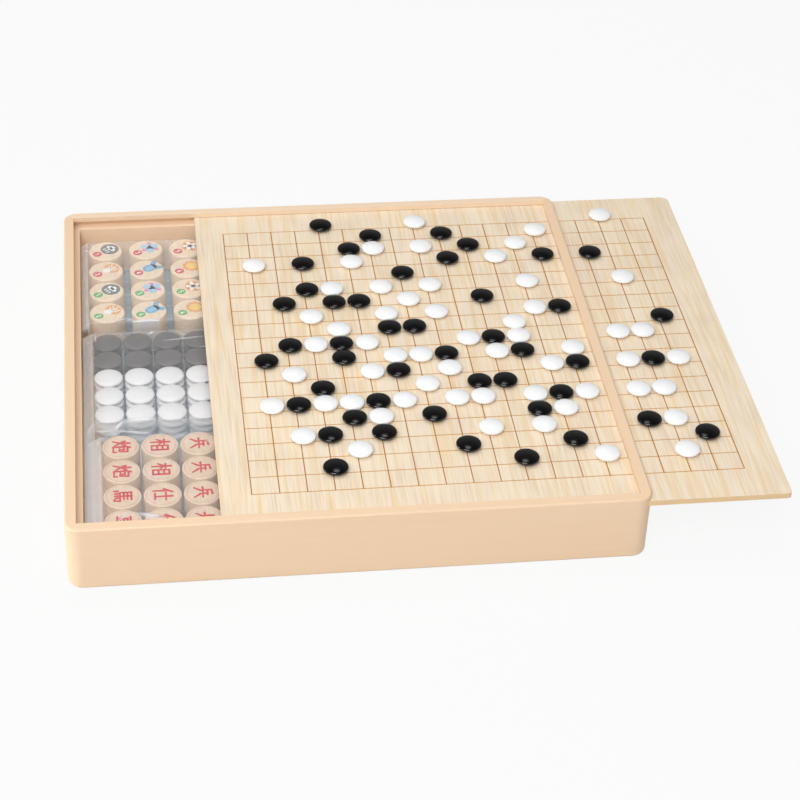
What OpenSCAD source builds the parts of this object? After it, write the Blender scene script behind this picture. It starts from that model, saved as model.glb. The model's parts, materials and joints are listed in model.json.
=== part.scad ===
// Wooden game box with a sliding go board, film-packed playing pieces and loose go stones.
// The origin is the middle of the underside: +X is the way the board draws out, +Y the back, +Z up.

/* [Box] */
// Outside width of the box, left to right
box_w = 371; // [360:1:400]
// Outside depth of the box, front to back
box_d = 368; // [366:1:400]
// Outside height of the box
box_h = 48; // [44:0.5:80]
// Thickness of the rails under the board
wall_t = 11.5; // [10:0.5:15]
// Width of the rim over the board
lip_w = 7.3; // [6:0.1:9]
// Thickness of the rim over the board
lip_t = 3.3; // [2:0.1:6]
// Radius of the upright outer corners
corner_r = 10; // [6:0.5:20]
// Radius of the lower outer edge
bottom_r = 2.5; // [1:0.5:4]
// Radius of the upper outer edge
top_r = 1.2; // [0.4:0.1:2.5]
// Thickness of the base panel
base_t = 4; // [3:0.5:8]
// How far the base panel reaches into the rails
rebate_w = 5.5; // [2:0.5:6]

/* [Board] */
// Thickness of the board
board_t = 4; // [3:0.5:6]
// Wood left outside the board's groove at the front and the back
side_skin = 2.4; // [2:0.1:4]
// Wood left outside the board's groove at the left
end_skin = 4.9; // [4.5:0.1:6]
// Bare margin left of the grid
margin_left = 20.4; // [16:0.1:26]
// Bare margin right of the grid
margin_right = 24.8; // [18:0.1:30]
// Bare margin in front of the grid
margin_front = 27.6; // [20:0.1:34]
// Bare margin behind the grid
margin_back = 28.6; // [20:0.1:34]
// How far the board is drawn out
pull_out = 91.6; // [20:0.1:150]
// Radius of the board's back right corner
back_corner_r = 5.5; // [2:0.5:12]
// Radius of the board's front right corner
front_corner_r = 2.5; // [1:0.5:8]
// Width of the grid's lines
line_w = 0.7; // [0.4:0.1:1.2]
// Depth of the grid's lines
line_depth = 0.15; // [0.1:0.05:0.4]

/* [Go stones] */
// Least room between two loose stones on the board
stone_gap = 0.2; // [0.1:0.05:1]
// How far right of the crossings the loose stones lie
stone_shift_x = 2; // [-4:0.5:4]
// How far behind the crossings the loose stones lie
stone_shift_y = 3; // [-4:0.5:4]
// Diameter of a stone in the pack
pack_stone_d = 20; // [16:0.1:22]
// Thickness of a stone
stone_t = 5.2; // [4:0.1:6]
// Radius of a stone's rim
stone_rim = 1.3; // [0.8:0.1:1.7]
// Room between the packed columns, left to right
stone_gap_x = 1.1; // [0.2:0.1:2]
// Room between the packed columns, front to back
stone_gap_y = 0.9; // [0.2:0.1:2]
// Stones in each packed column
stone_layers = 4; // [1:1:4]

/* [Chess pieces] */
// Diameter of a chess piece
piece_d = 24.6; // [20:0.1:27]
// Thickness of a chess piece
piece_t = 11.3; // [6:0.1:13]
// Radius of a chess piece's edges
piece_edge = 0.9; // [0.4:0.1:1.5]
// Room between packed chess pieces
piece_gap = 1.1; // [0.2:0.1:2]
// Bare rim outside the ring around a character
ring_inset = 1.6; // [1:0.1:2]
// Width of the ring
ring_w = 0.4; // [0.3:0.1:1]
// Room between the ring and the square of a character
mark_room = 3.8; // [3.2:0.1:5]
// Width of a character's strokes
stroke_w = 1.1; // [0.6:0.1:1.6]
// Depth of the ring and the characters
engrave = 0.3; // [0.1:0.05:0.6]

/* [Tokens] */
// Diameter of a token
token_d = 25; // [20:0.1:27]
// Thickness of a token
token_t = 13.8; // [8:0.1:14.5]
// Radius of a token's edges
token_edge = 1.2; // [0.4:0.1:2]
// Room between packed tokens, left to right
token_gap_x = 4.8; // [0.2:0.1:6]
// Room between packed tokens, front to back
token_gap_y = 1.9; // [0.2:0.1:3]
// Diameter of the number badge
badge_d = 6.8; // [5:0.1:7.2]
// Diameter of the picture
picture_d = 14; // [9:0.1:14.4]
// Bare rim around the badge and the picture
print_inset = 0.5; // [0.3:0.1:1]
// Turn of the badge and the picture on the token
print_turn = 35; // [0:5:90]

/* [Packs] */
// Thickness of the film
film_t = 0.3; // [0.2:0.05:0.5]
// Room between the film and what it holds
film_room = 0.5; // [0.3:0.1:1]
// Room between the left rail and a pack's sealed flap
flap_room = 0.4; // [0.2:0.1:3]
// How far the flap lies under the top of its pack
flap_drop = 4; // [1:0.5:10]
// Room left of the chess pieces
chess_left = 12.3; // [7:0.1:14]
// Room left of the packed stones
stones_left = 7.8; // [7:0.1:12]
// Room left of the tokens
tokens_left = 6; // [6:0.1:10]
// Room in front of the chess pack
chess_front = 5; // [1:0.5:8]
// Room behind the token pack
tokens_back = 6; // [1:0.5:8]
// Room between the token pack and the stone pack
pack_gap = 1.2; // [0.5:0.1:3]
// Width of the folded sheet
sheet_w = 180; // [120:1:320]
// Room left of the folded sheet
sheet_left = 12.5; // [5:0.5:15]
// Room in front of and behind the folded sheet
sheet_room = 4; // [2:0.5:20]
// Thickness of one layer of the sheet
sheet_t = 0.35; // [0.2:0.05:0.5]

/* [Fits] */
// Running room over the board
slide_fit = 0.3; // [0.1:0.05:0.6]
// Running room under the board
ledge_fit = 0.1; // [0.05:0.05:0.4]
// Room in front of and behind the board
side_fit = 0.5; // [0.2:0.1:1]
// Room at the end of the closed board's travel
end_fit = 0.5; // [0.2:0.1:1]
// Room around the base panel
base_fit = 0.2; // [0.05:0.05:0.5]
// Room under and between pieces that lie on each other
seat_fit = 0.05; // [0.02:0.01:0.2]

/* [Hidden] */
$fn = 48;
half_w = box_w / 2;
half_d = box_d / 2;
over = 1;

// Board and its channel in the rails
lines = 19;
channel_left = -half_w + end_skin;
channel_y = half_d - side_skin;
board_w = half_w - channel_left - end_fit;
board_d = 2 * (channel_y - side_fit);
cell_w = (board_w - margin_left - margin_right) / (lines - 1);
cell_d = (board_d - margin_front - margin_back) / (lines - 1);
stone_d = min(cell_w, cell_d) - stone_gap;
slot_top = box_h - lip_t;
board_top = slot_top - slide_fit;
board_under = board_top - board_t;
ledge_z = board_under - ledge_fit;
board_right = half_w + pull_out;
board_left = board_right - board_w;
grid_x = board_left + margin_left;
grid_y = -board_d / 2 + margin_front;

// Storage well
well_x = -half_w + wall_t;
well_front = -half_d + wall_t;
well_back = half_d - wall_t;
sheet_layers = 3;
sheet_gap = 0.1;
sheet_h = sheet_layers * sheet_t + (sheet_layers - 1) * sheet_gap;
film_z = base_t + sheet_h + seat_fit;
pack_z = film_z + film_t + seat_fit;

// Packs: corner of the first piece's room, with columns counted right and rows counted back
cols = 4;
rows = 4;
piece_layers = 2;
stone_cols = 5;
piece_pitch = piece_d + piece_gap;
stone_pitch_x = pack_stone_d + stone_gap_x;
stone_pitch_y = pack_stone_d + stone_gap_y;
token_pitch_x = token_d + token_gap_x;
token_pitch_y = token_d + token_gap_y;
ring_r = piece_d / 2 - ring_inset - ring_w;
mark_size = 2 * (ring_r - mark_room);
skin = film_t + film_room;
chess_x = well_x + chess_left + piece_d / 2;
chess_y = well_front + chess_front + skin + piece_d / 2;
chess_top = pack_z + piece_layers * (piece_t + seat_fit);
tokens_x = well_x + tokens_left + token_d / 2;
tokens_y = well_back - tokens_back - skin - token_d / 2 - (rows - 1) * token_pitch_y;
tokens_top = pack_z + piece_layers * (token_t + seat_fit);
stones_x = well_x + stones_left + pack_stone_d / 2;
token_film_front = tokens_y - token_d / 2 - skin;
chess_film_back = chess_y + (rows - 1) * piece_pitch + piece_d / 2 + skin;
stone_room = token_film_front - chess_film_back - 2 * (pack_gap + skin) - pack_stone_d;
stone_rows = floor(stone_room / stone_pitch_y) + 1;
white_rows = ceil(stone_rows / 2);
black_rows = stone_rows - white_rows;
stones_y = token_film_front - pack_gap - skin - pack_stone_d / 2
    - (stone_rows - 1) * stone_pitch_y;
stones_top = pack_z + stone_layers * (stone_t + seat_fit);

// Game in play: rows from the back of the board to its front, b for black and w for white
play = ["....b...w.......w..",
        "......b..b...w.....",
        ".....bw.w.b.w......",
        ".w.b.w...b.w.b.b...",
        ".......b...........",
        "...bw.w.w...w...w..",
        "..b.bb.w..b........",
        "...w..w.w...wb.....",
        "....w.bb...w.....b.",
        "..bwbw...wbw...ww..",
        ".b..b.wwb.wb.w.....",
        "..w..wb.w...wb.wbw.",
        "...b...w.bb........",
        ".wbwwbw.ww.wbw.ww..",
        "....bw.b...bw......",
        "..wb.b...w.w...bw..",
        "....w...b...b....b.",
        "...b......b..w..w..",
        "..................."];

// Packed chess pieces: rows from the back to the front, one letter a kind
packed = ["CESS",
          "CESG",
          "HASH",
          "RASR"];

// Packed tokens: rows from the back to the front, one letter a picture
pictures = ["CDTF",
            "LPSH",
            "CDTF",
            "LPSH"];

// Characters: strokes on a square of 10 by 10, each a line of points
SOLDIER = [[[6.6, 9.8], [3.4, 9.2], [3.4, 5.0]], [[3.4, 7.3], [7.4, 7.3]], [[6.0, 7.3], [6.0, 5.0]],
    [[1.0, 5.0], [9.0, 5.0]], [[3.6, 3.9], [1.4, 0.8]], [[6.2, 3.9], [8.8, 0.8]]];
CANNON = [[[0.7, 7.0], [1.2, 5.4]], [[4.0, 7.2], [3.1, 5.6]], [[2.3, 9.4], [2.2, 5.0], [0.6, 1.0]],
    [[2.3, 4.6], [4.0, 2.2]], [[5.8, 9.6], [4.7, 6.9]], [[5.4, 8.4], [9.2, 8.4], [9.0, 4.4], [8.2, 4.0]],
    [[5.2, 6.6], [7.6, 6.6], [7.6, 4.4], [5.2, 4.4]], [[5.2, 6.6], [5.2, 1.2], [9.4, 1.2], [9.4, 2.8]]];
HORSE = [[[8.0, 9.4], [2.2, 9.4], [2.2, 3.8]], [[2.2, 7.5], [7.6, 7.5]], [[2.2, 5.7], [7.6, 5.7]],
    [[5.0, 9.4], [5.0, 3.8]], [[2.2, 3.8], [8.8, 3.8], [8.4, 0.8], [7.2, 1.2]], [[0.9, 2.6], [1.1, 0.9]],
    [[2.9, 2.6], [3.2, 1.2]], [[4.7, 2.6], [5.0, 1.2]], [[6.3, 2.6], [6.7, 1.6]]];
CHARIOT = [[[1.2, 8.6], [8.8, 8.6]], [[2.4, 3.5], [2.4, 7.1], [7.6, 7.1], [7.6, 3.5], [2.4, 3.5]],
    [[2.4, 5.3], [7.6, 5.3]], [[0.8, 2.1], [9.2, 2.1]], [[5.0, 9.9], [5.0, 0.2]]];
MINISTER = [[[0.6, 7.2], [4.6, 7.2]], [[2.7, 9.8], [2.7, 0.4]], [[2.6, 6.8], [0.6, 3.4]],
    [[2.9, 6.2], [4.4, 4.6]], [[5.6, 9.0], [9.0, 9.0], [9.0, 0.8], [5.6, 0.8], [5.6, 9.0]],
    [[5.6, 6.3], [9.0, 6.3]], [[5.6, 3.6], [9.0, 3.6]]];
OFFICER = [[[3.4, 9.8], [0.8, 5.6]], [[2.3, 7.4], [2.3, 0.4]], [[3.8, 6.6], [9.6, 6.6]],
    [[6.7, 9.6], [6.7, 1.2]], [[4.4, 1.2], [9.0, 1.2]]];
MARSHAL = [[[1.2, 1.2], [1.2, 8.6], [3.8, 8.6], [3.8, 5.8], [1.2, 5.8]],
    [[1.2, 4.2], [3.8, 4.2], [3.8, 1.2], [1.2, 1.2]], [[1.9, 9.9], [1.6, 8.6]],
    [[5.2, 2.2], [5.2, 7.4], [9.2, 7.4], [9.2, 2.6], [8.5, 2.4]], [[7.2, 9.8], [7.2, 0.2]]];
PAWN = [[[4.9, 9.9], [5.2, 8.8]], [[1.2, 8.6], [8.8, 8.6]], [[3.4, 8.4], [1.6, 4.6]],
    [[3.1, 6.4], [4.6, 5.0]], [[6.8, 8.4], [5.4, 4.8]], [[6.6, 6.4], [8.6, 4.6]],
    [[0.8, 3.4], [9.2, 3.4]], [[5.0, 4.6], [5.0, 0.2]]];
ELEPHANT = [[[3.8, 9.9], [1.6, 7.6]], [[3.3, 9.1], [6.6, 9.1], [5.6, 7.8]],
    [[2.2, 7.8], [8.2, 7.8], [7.8, 5.8], [2.5, 5.8], [2.2, 7.8]], [[5.0, 7.8], [5.0, 5.6], [3.4, 4.0], [1.0, 3.0]],
    [[4.0, 4.6], [5.8, 2.6], [5.4, 0.4], [4.4, 0.8]], [[5.4, 3.4], [1.2, 1.2]],
    [[8.4, 4.8], [6.2, 3.4], [9.2, 0.8]]];
SCHOLAR = [[[0.8, 6.4], [9.2, 6.4]], [[5.0, 9.6], [5.0, 1.2]], [[2.0, 1.2], [8.0, 1.2]]];
GENERAL = [[[2.6, 9.6], [2.6, 0.4]], [[0.9, 8.6], [0.9, 6.4], [2.6, 6.4]], [[0.4, 4.4], [2.6, 4.4]],
    [[1.2, 4.4], [0.8, 0.8]], [[5.2, 9.8], [4.0, 7.6]], [[4.9, 8.8], [8.8, 8.8], [4.6, 4.8]],
    [[5.4, 7.6], [6.2, 7.0]], [[3.8, 4.2], [9.4, 4.2]], [[7.8, 5.6], [7.8, 0.6], [6.8, 1.0]],
    [[4.8, 3.0], [5.6, 1.8]]];

// Section of the whole box, with its lower and upper edges rounded
module rounded_section(width) {
    low = width / 2 - bottom_r;
    high = width / 2 - top_r;
    translate([-width / 2, bottom_r]) square([width, box_h - bottom_r - top_r]);
    translate([-low, 0]) square([2 * low, bottom_r + over]);
    translate([-high, box_h - top_r - over]) square([2 * high, top_r + over]);
    for (side = [-1, 1]) {
        translate([side * low, bottom_r]) circle(bottom_r);
        translate([side * high, box_h - top_r]) circle(top_r);
    }
}

// Solid block with the box's outer shape
module envelope() {
    rotate([90, 0, 90])
        linear_extrude(box_w - 2 * corner_r, center = true) rounded_section(box_d);
    rotate([90, 0, 0])
        linear_extrude(box_d - 2 * corner_r, center = true) rounded_section(box_w);
    for (x = [-1, 1], y = [-1, 1])
        translate([x * (half_w - corner_r), y * (half_d - corner_r), 0])
            rotate_extrude() intersection() {
                rounded_section(2 * corner_r);
                square([corner_r, box_h]);
            }
}

// Upright prism between a wall's two mitres, for a wall along the front
module mitre_prism(length, depth, low, high) {
    translate([0, 0, low]) linear_extrude(high - low) polygon([
        [-length / 2, -depth / 2], [length / 2, -depth / 2],
        [length / 2 - wall_t, -depth / 2 + wall_t], [-length / 2 + wall_t, -depth / 2 + wall_t]]);
}

// Box between two opposite corners
module block(low, high) {
    translate(low) cube(high - low);
}

// What the board, the mouth of the rim and the base panel take out of the rails
module rail_cuts() {
    block([channel_left, -channel_y, ledge_z], [half_w + over, channel_y, slot_top]);
    block([-half_w + lip_w, -half_d + lip_w, ledge_z], [half_w - lip_w, half_d - lip_w, box_h + over]);
    block([-half_w + wall_t - rebate_w, -half_d + wall_t - rebate_w, -over],
        [half_w - wall_t + rebate_w, half_d - wall_t + rebate_w, base_t]);
}

// One wall of the box between two heights, given as the turn that takes the front wall there
module wall(turn, length, depth, low, high) {
    difference() {
        intersection() {
            envelope();
            rotate([0, 0, turn]) mitre_prism(length, depth, low, high);
        }
        rail_cuts();
    }
}

module front_rail() { color([0.93, 0.80, 0.66]) wall(0, box_w, box_d, 0, box_h); }
module back_rail() { color([0.93, 0.80, 0.66]) wall(180, box_w, box_d, 0, box_h); }
module left_rail() { color([0.93, 0.80, 0.66]) wall(-90, box_d, box_w, 0, box_h); }
module right_rail() { color([0.93, 0.80, 0.66]) wall(90, box_d, box_w, 0, ledge_z); }
module slot_bar() { color([0.95, 0.83, 0.70]) wall(90, box_d, box_w, slot_top, box_h); }

// Floor of the well, flush with the rails' underside
module base_panel() {
    panel_x = half_w - wall_t + rebate_w - base_fit;
    panel_y = half_d - wall_t + rebate_w - base_fit;
    color([0.88, 0.78, 0.62]) block([-panel_x, -panel_y, 0], [panel_x, panel_y, base_t]);
}

// What rounds an outward corner of a flat outline
module corner_cut(r) {
    difference() {
        translate([-r, -r]) square(r + over);
        translate([-r, -r]) circle(r);
    }
}

// Sliding board with its grid of lines
module game_board() {
    color([0.93, 0.85, 0.70]) difference() {
        translate([0, 0, board_under]) linear_extrude(board_t) difference() {
            translate([board_left, -board_d / 2]) square([board_w, board_d]);
            translate([board_right, board_d / 2]) corner_cut(back_corner_r);
            translate([board_right, -board_d / 2]) mirror([0, 1]) corner_cut(front_corner_r);
        }
        for (i = [0:lines - 1]) {
            translate([grid_x + i * cell_w - line_w / 2, grid_y - line_w / 2, board_top - line_depth])
                cube([line_w, (lines - 1) * cell_d + line_w, over]);
            translate([grid_x - line_w / 2, grid_y + i * cell_d - line_w / 2, board_top - line_depth])
                cube([(lines - 1) * cell_w + line_w, line_w, over]);
        }
    }
}

// Sheet folded in three, on the floor of the well
module game_sheet() {
    step = sheet_t + sheet_gap;
    length = box_d - 2 * wall_t - 2 * sheet_room;
    color([0.62, 0.75, 0.85])
        translate([well_x + sheet_left, length / 2, base_t]) rotate([90, 0, 0]) linear_extrude(length) {
            for (i = [0:sheet_layers - 1])
                translate([0, i * step]) square([sheet_w, sheet_t]);
            for (i = [0:sheet_layers - 2])
                translate([i % 2 == 0 ? sheet_w - sheet_t : 0, i * step]) square([sheet_t, step + sheet_t]);
        }
}

// Closed film around a block of pieces, with a sealed flap that reaches to the left rail and, on a
// pack with room in front of it, along its front too
module film(low, high, front = 0) {
    wall = [film_t, film_t, film_t];
    flap_top = high.z - flap_drop;
    color([0.80, 0.82, 0.83, 0.35]) difference() {
        union() {
            block(low - wall, high + wall);
            block([well_x + flap_room, low.y - front, flap_top - 2 * film_t],
                [front > 0 ? high.x : low.x, high.y, flap_top]);
        }
        block(low, high);
    }
}

module chess_film() {
    reach = piece_d / 2 + film_room;
    film([chess_x - reach, chess_y - reach, film_z + film_t],
        [chess_x + (cols - 1) * piece_pitch + reach, chess_y + (rows - 1) * piece_pitch + reach,
            chess_top + film_room]);
}

module stone_film() {
    reach = pack_stone_d / 2 + film_room;
    film([stones_x - reach, stones_y - reach, film_z + film_t],
        [stones_x + (stone_cols - 1) * stone_pitch_x + reach,
            stones_y + (stone_rows - 1) * stone_pitch_y + reach, stones_top + film_room],
        stones_y - reach - chess_film_back - pack_gap);
}

module token_film() {
    reach = token_d / 2 + film_room;
    film([tokens_x - reach, tokens_y - reach, film_z + film_t],
        [tokens_x + (cols - 1) * token_pitch_x + reach, tokens_y + (rows - 1) * token_pitch_y + reach,
            tokens_top + film_room]);
}

// Round wooden disc with eased edges
module disc(d, h, edge) {
    rotate_extrude() {
        square([d / 2 - edge, h]);
        translate([0, edge]) square([d / 2, h - 2 * edge]);
        for (z = [edge, h - edge])
            translate([d / 2 - edge, z]) intersection() {
                circle(edge);
                translate([-edge / 2, -edge]) square([2 * edge, 2 * edge]);
            }
    }
}

// One straight cut between two points of a stroke
module cut_line(from, to) {
    run = to - from;
    translate([from.x, from.y, 0]) rotate([0, 0, atan2(run.y, run.x)])
        translate([-stroke_w / 2, -stroke_w / 2, 0]) cube([norm(run) + stroke_w, stroke_w, engrave + over]);
}

// Chess piece with its ring and character, whose top faces right
module chess_piece(strokes) {
    unit = mark_size / 10;
    difference() {
        disc(piece_d, piece_t, piece_edge);
        translate([0, 0, piece_t - engrave]) {
            rotate_extrude() translate([ring_r, 0]) square([ring_w, engrave + over]);
            rotate([0, 0, -90]) for (stroke = strokes, i = [0:len(stroke) - 2])
                cut_line((stroke[i] - [5, 5]) * unit, (stroke[i + 1] - [5, 5]) * unit);
        }
    }
}

// All chess pieces of one kind in one layer of the pack
module chess_kind(letter, strokes, layer) {
    for (row = [0:rows - 1], col = [0:cols - 1])
        if (packed[rows - 1 - row][col] == letter)
            translate([chess_x + col * piece_pitch, chess_y + row * piece_pitch,
                    pack_z + layer * (piece_t + seat_fit)])
                chess_piece(strokes);
}

module red_kind(letter, strokes) { color([0.90, 0.76, 0.60]) chess_kind(letter, strokes, 1); }
module black_kind(letter, strokes) { color([0.86, 0.72, 0.56]) chess_kind(letter, strokes, 0); }
module red_soldiers() { red_kind("S", SOLDIER); }
module red_cannons() { red_kind("C", CANNON); }
module red_horses() { red_kind("H", HORSE); }
module red_chariots() { red_kind("R", CHARIOT); }
module red_elephants() { red_kind("E", MINISTER); }
module red_advisors() { red_kind("A", OFFICER); }
module red_general() { red_kind("G", MARSHAL); }
module black_soldiers() { black_kind("S", PAWN); }
module black_cannons() { black_kind("C", CANNON); }
module black_horses() { black_kind("H", HORSE); }
module black_chariots() { black_kind("R", CHARIOT); }
module black_elephants() { black_kind("E", ELEPHANT); }
module black_advisors() { black_kind("A", SCHOLAR); }
module black_general() { black_kind("G", GENERAL); }

// Token with shallow seats for its number badge and its picture
module token() {
    print_reach = token_d / 2 - token_edge - print_inset;
    difference() {
        disc(token_d, token_t, token_edge);
        translate([0, 0, token_t - line_depth]) rotate([0, 0, print_turn]) {
            translate([badge_d / 2 - print_reach, 0, 0]) cylinder(h = over, d = badge_d);
            translate([print_reach - picture_d / 2, 0, 0]) cylinder(h = over, d = picture_d);
        }
    }
}

// All tokens with one picture, in the upper layer of the pack
module picture_tokens(letter) {
    color([0.92, 0.80, 0.64])
        for (row = [0:rows - 1], col = [0:cols - 1])
            if (pictures[rows - 1 - row][col] == letter)
                translate([tokens_x + col * token_pitch_x, tokens_y + row * token_pitch_y,
                        pack_z + token_t + seat_fit])
                    token();
}

module cloud_tokens() { picture_tokens("C"); }
module leaf_tokens() { picture_tokens("L"); }
module drop_tokens() { picture_tokens("D"); }
module fish_tokens() { picture_tokens("P"); }
module star_tokens() { picture_tokens("T"); }
module sun_tokens() { picture_tokens("S"); }
module flower_tokens() { picture_tokens("F"); }
module shell_tokens() { picture_tokens("H"); }

module plain_draughts() {
    color([0.88, 0.76, 0.60])
        for (row = [0:rows - 1], col = [0:cols - 1])
            translate([tokens_x + col * token_pitch_x, tokens_y + row * token_pitch_y, pack_z])
                disc(token_d, token_t, token_edge);
}

// Go stone standing on z = 0: two shallow domes that run into a round rim
module stone(d) {
    reach = d / 2 - stone_rim;
    dome_r = (pow(reach, 2) + pow(stone_t / 2, 2) - pow(stone_rim, 2)) / (stone_t - 2 * stone_rim);
    meet = reach * dome_r / (dome_r - stone_rim);
    translate([0, 0, stone_t / 2]) rotate_extrude() {
        intersection() {
            translate([0, stone_t / 2 - dome_r]) circle(dome_r, $fn = 200);
            translate([0, dome_r - stone_t / 2]) circle(dome_r, $fn = 200);
            translate([0, -stone_t / 2]) square([meet, stone_t]);
        }
        intersection() {
            translate([reach, 0]) circle(stone_rim);
            translate([reach - stone_rim / 2, -stone_rim]) square([2 * stone_rim, 2 * stone_rim]);
        }
    }
}

// Columns of packed stones in some of the pack's rows
module stone_columns(first, count) {
    for (row = [first:first + count - 1], col = [0:stone_cols - 1], layer = [0:stone_layers - 1])
        translate([stones_x + col * stone_pitch_x, stones_y + row * stone_pitch_y,
                pack_z + layer * (stone_t + seat_fit)])
            stone(pack_stone_d);
}

module packed_white_stones() { color([0.96, 0.96, 0.95]) stone_columns(0, white_rows); }
module packed_black_stones() { color([0.12, 0.12, 0.12]) stone_columns(white_rows, black_rows); }

// Loose stones of one colour on one side of the bar, where the bar and the rim leave them room
module loose_stones(letter, outside) {
    bar_room = stone_d / 2 + seat_fit;
    for (row = [0:lines - 1], col = [0:lines - 1]) {
        x = grid_x + col * cell_w + stone_shift_x;
        clear = outside ? x - bar_room > half_w : x + bar_room < half_w - lip_w;
        if (play[lines - 1 - row][col] == letter && clear)
            translate([x, grid_y + row * cell_d + stone_shift_y, board_top + seat_fit])
                stone(stone_d);
    }
}

module white_stones_inside() { color([0.97, 0.97, 0.97]) loose_stones("w", false); }
module black_stones_inside() { color([0.08, 0.08, 0.08]) loose_stones("b", false); }
module white_stones_outside() { color([0.97, 0.97, 0.97]) loose_stones("w", true); }
module black_stones_outside() { color([0.08, 0.08, 0.08]) loose_stones("b", true); }

front_rail();
back_rail();
left_rail();
right_rail();
slot_bar();
base_panel();
game_board();
game_sheet();
chess_film();
stone_film();
token_film();
red_soldiers();
red_cannons();
red_horses();
red_chariots();
red_elephants();
red_advisors();
red_general();
black_soldiers();
black_cannons();
black_horses();
black_chariots();
black_elephants();
black_advisors();
black_general();
cloud_tokens();
leaf_tokens();
drop_tokens();
fish_tokens();
star_tokens();
sun_tokens();
flower_tokens();
shell_tokens();
plain_draughts();
packed_white_stones();
packed_black_stones();
white_stones_inside();
black_stones_inside();
white_stones_outside();
black_stones_outside();
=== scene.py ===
"""Dresses the sliding-board game box: its coat, veneer board, go stones and film-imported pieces.

All lengths are in metres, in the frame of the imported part: +X is the way the board draws out, +Y is
the back and +Z is up.
"""

import json
import logging
import math
import random
from dataclasses import dataclass, field
from enum import Enum
from typing import Callable, ClassVar

import bpy
import numpy as np
from mathutils import Matrix, Vector

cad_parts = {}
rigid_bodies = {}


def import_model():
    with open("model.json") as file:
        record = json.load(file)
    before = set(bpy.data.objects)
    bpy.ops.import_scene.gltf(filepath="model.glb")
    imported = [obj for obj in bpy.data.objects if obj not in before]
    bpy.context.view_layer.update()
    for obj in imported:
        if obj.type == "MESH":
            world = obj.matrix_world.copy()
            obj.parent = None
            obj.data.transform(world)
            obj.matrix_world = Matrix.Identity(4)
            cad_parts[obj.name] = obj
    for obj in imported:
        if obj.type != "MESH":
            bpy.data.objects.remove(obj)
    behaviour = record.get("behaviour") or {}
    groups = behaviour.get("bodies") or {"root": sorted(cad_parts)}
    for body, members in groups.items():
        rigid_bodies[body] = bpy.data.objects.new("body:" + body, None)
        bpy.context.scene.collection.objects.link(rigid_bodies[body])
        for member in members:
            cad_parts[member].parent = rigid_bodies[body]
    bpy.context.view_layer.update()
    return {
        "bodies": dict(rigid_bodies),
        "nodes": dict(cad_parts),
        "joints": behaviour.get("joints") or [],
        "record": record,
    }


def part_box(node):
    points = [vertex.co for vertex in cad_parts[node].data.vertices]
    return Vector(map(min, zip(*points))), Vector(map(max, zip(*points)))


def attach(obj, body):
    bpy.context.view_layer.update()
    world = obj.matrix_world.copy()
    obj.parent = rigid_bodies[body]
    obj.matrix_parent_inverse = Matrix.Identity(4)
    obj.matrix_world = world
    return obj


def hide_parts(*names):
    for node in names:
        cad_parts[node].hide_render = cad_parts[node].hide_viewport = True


MM = 0.001
WELD = 0.002 * MM
LOG = logging.getLogger("game_box")

Colour = tuple[float, float, float]
Point = tuple[float, float]
Place = tuple[float, float, float]
Strokes = tuple[list[Point], ...]
Socket = bpy.types.NodeSocket
Thing = bpy.types.Object


class Grain(Enum):
    """The way that the streaks of a wood run."""

    ALONG_X = 0
    ALONG_Y = 1


class Body(Enum):
    """The bodies of the part, by their names in the frame."""

    BOX = "box"
    BOARD = "board"
    INSIDE = "inside_stones"
    OUTSIDE = "outside_stones"


def linear(colour: Colour, alpha: float = 1.0) -> tuple[float, float, float, float]:
    """Turns a colour as the eye reads it into the shader's linear one.

    Args:
        colour: red, green and blue from 0 to 255.
        alpha: the fourth channel.

    Returns:
        The linear colour with its fourth channel.
    """
    shares = [part / 255 for part in colour]
    parts = [s / 12.92 if s <= 0.04045 else ((s + 0.055) / 1.055) ** 2.4 for s in shares]
    return (parts[0], parts[1], parts[2], alpha)


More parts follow.
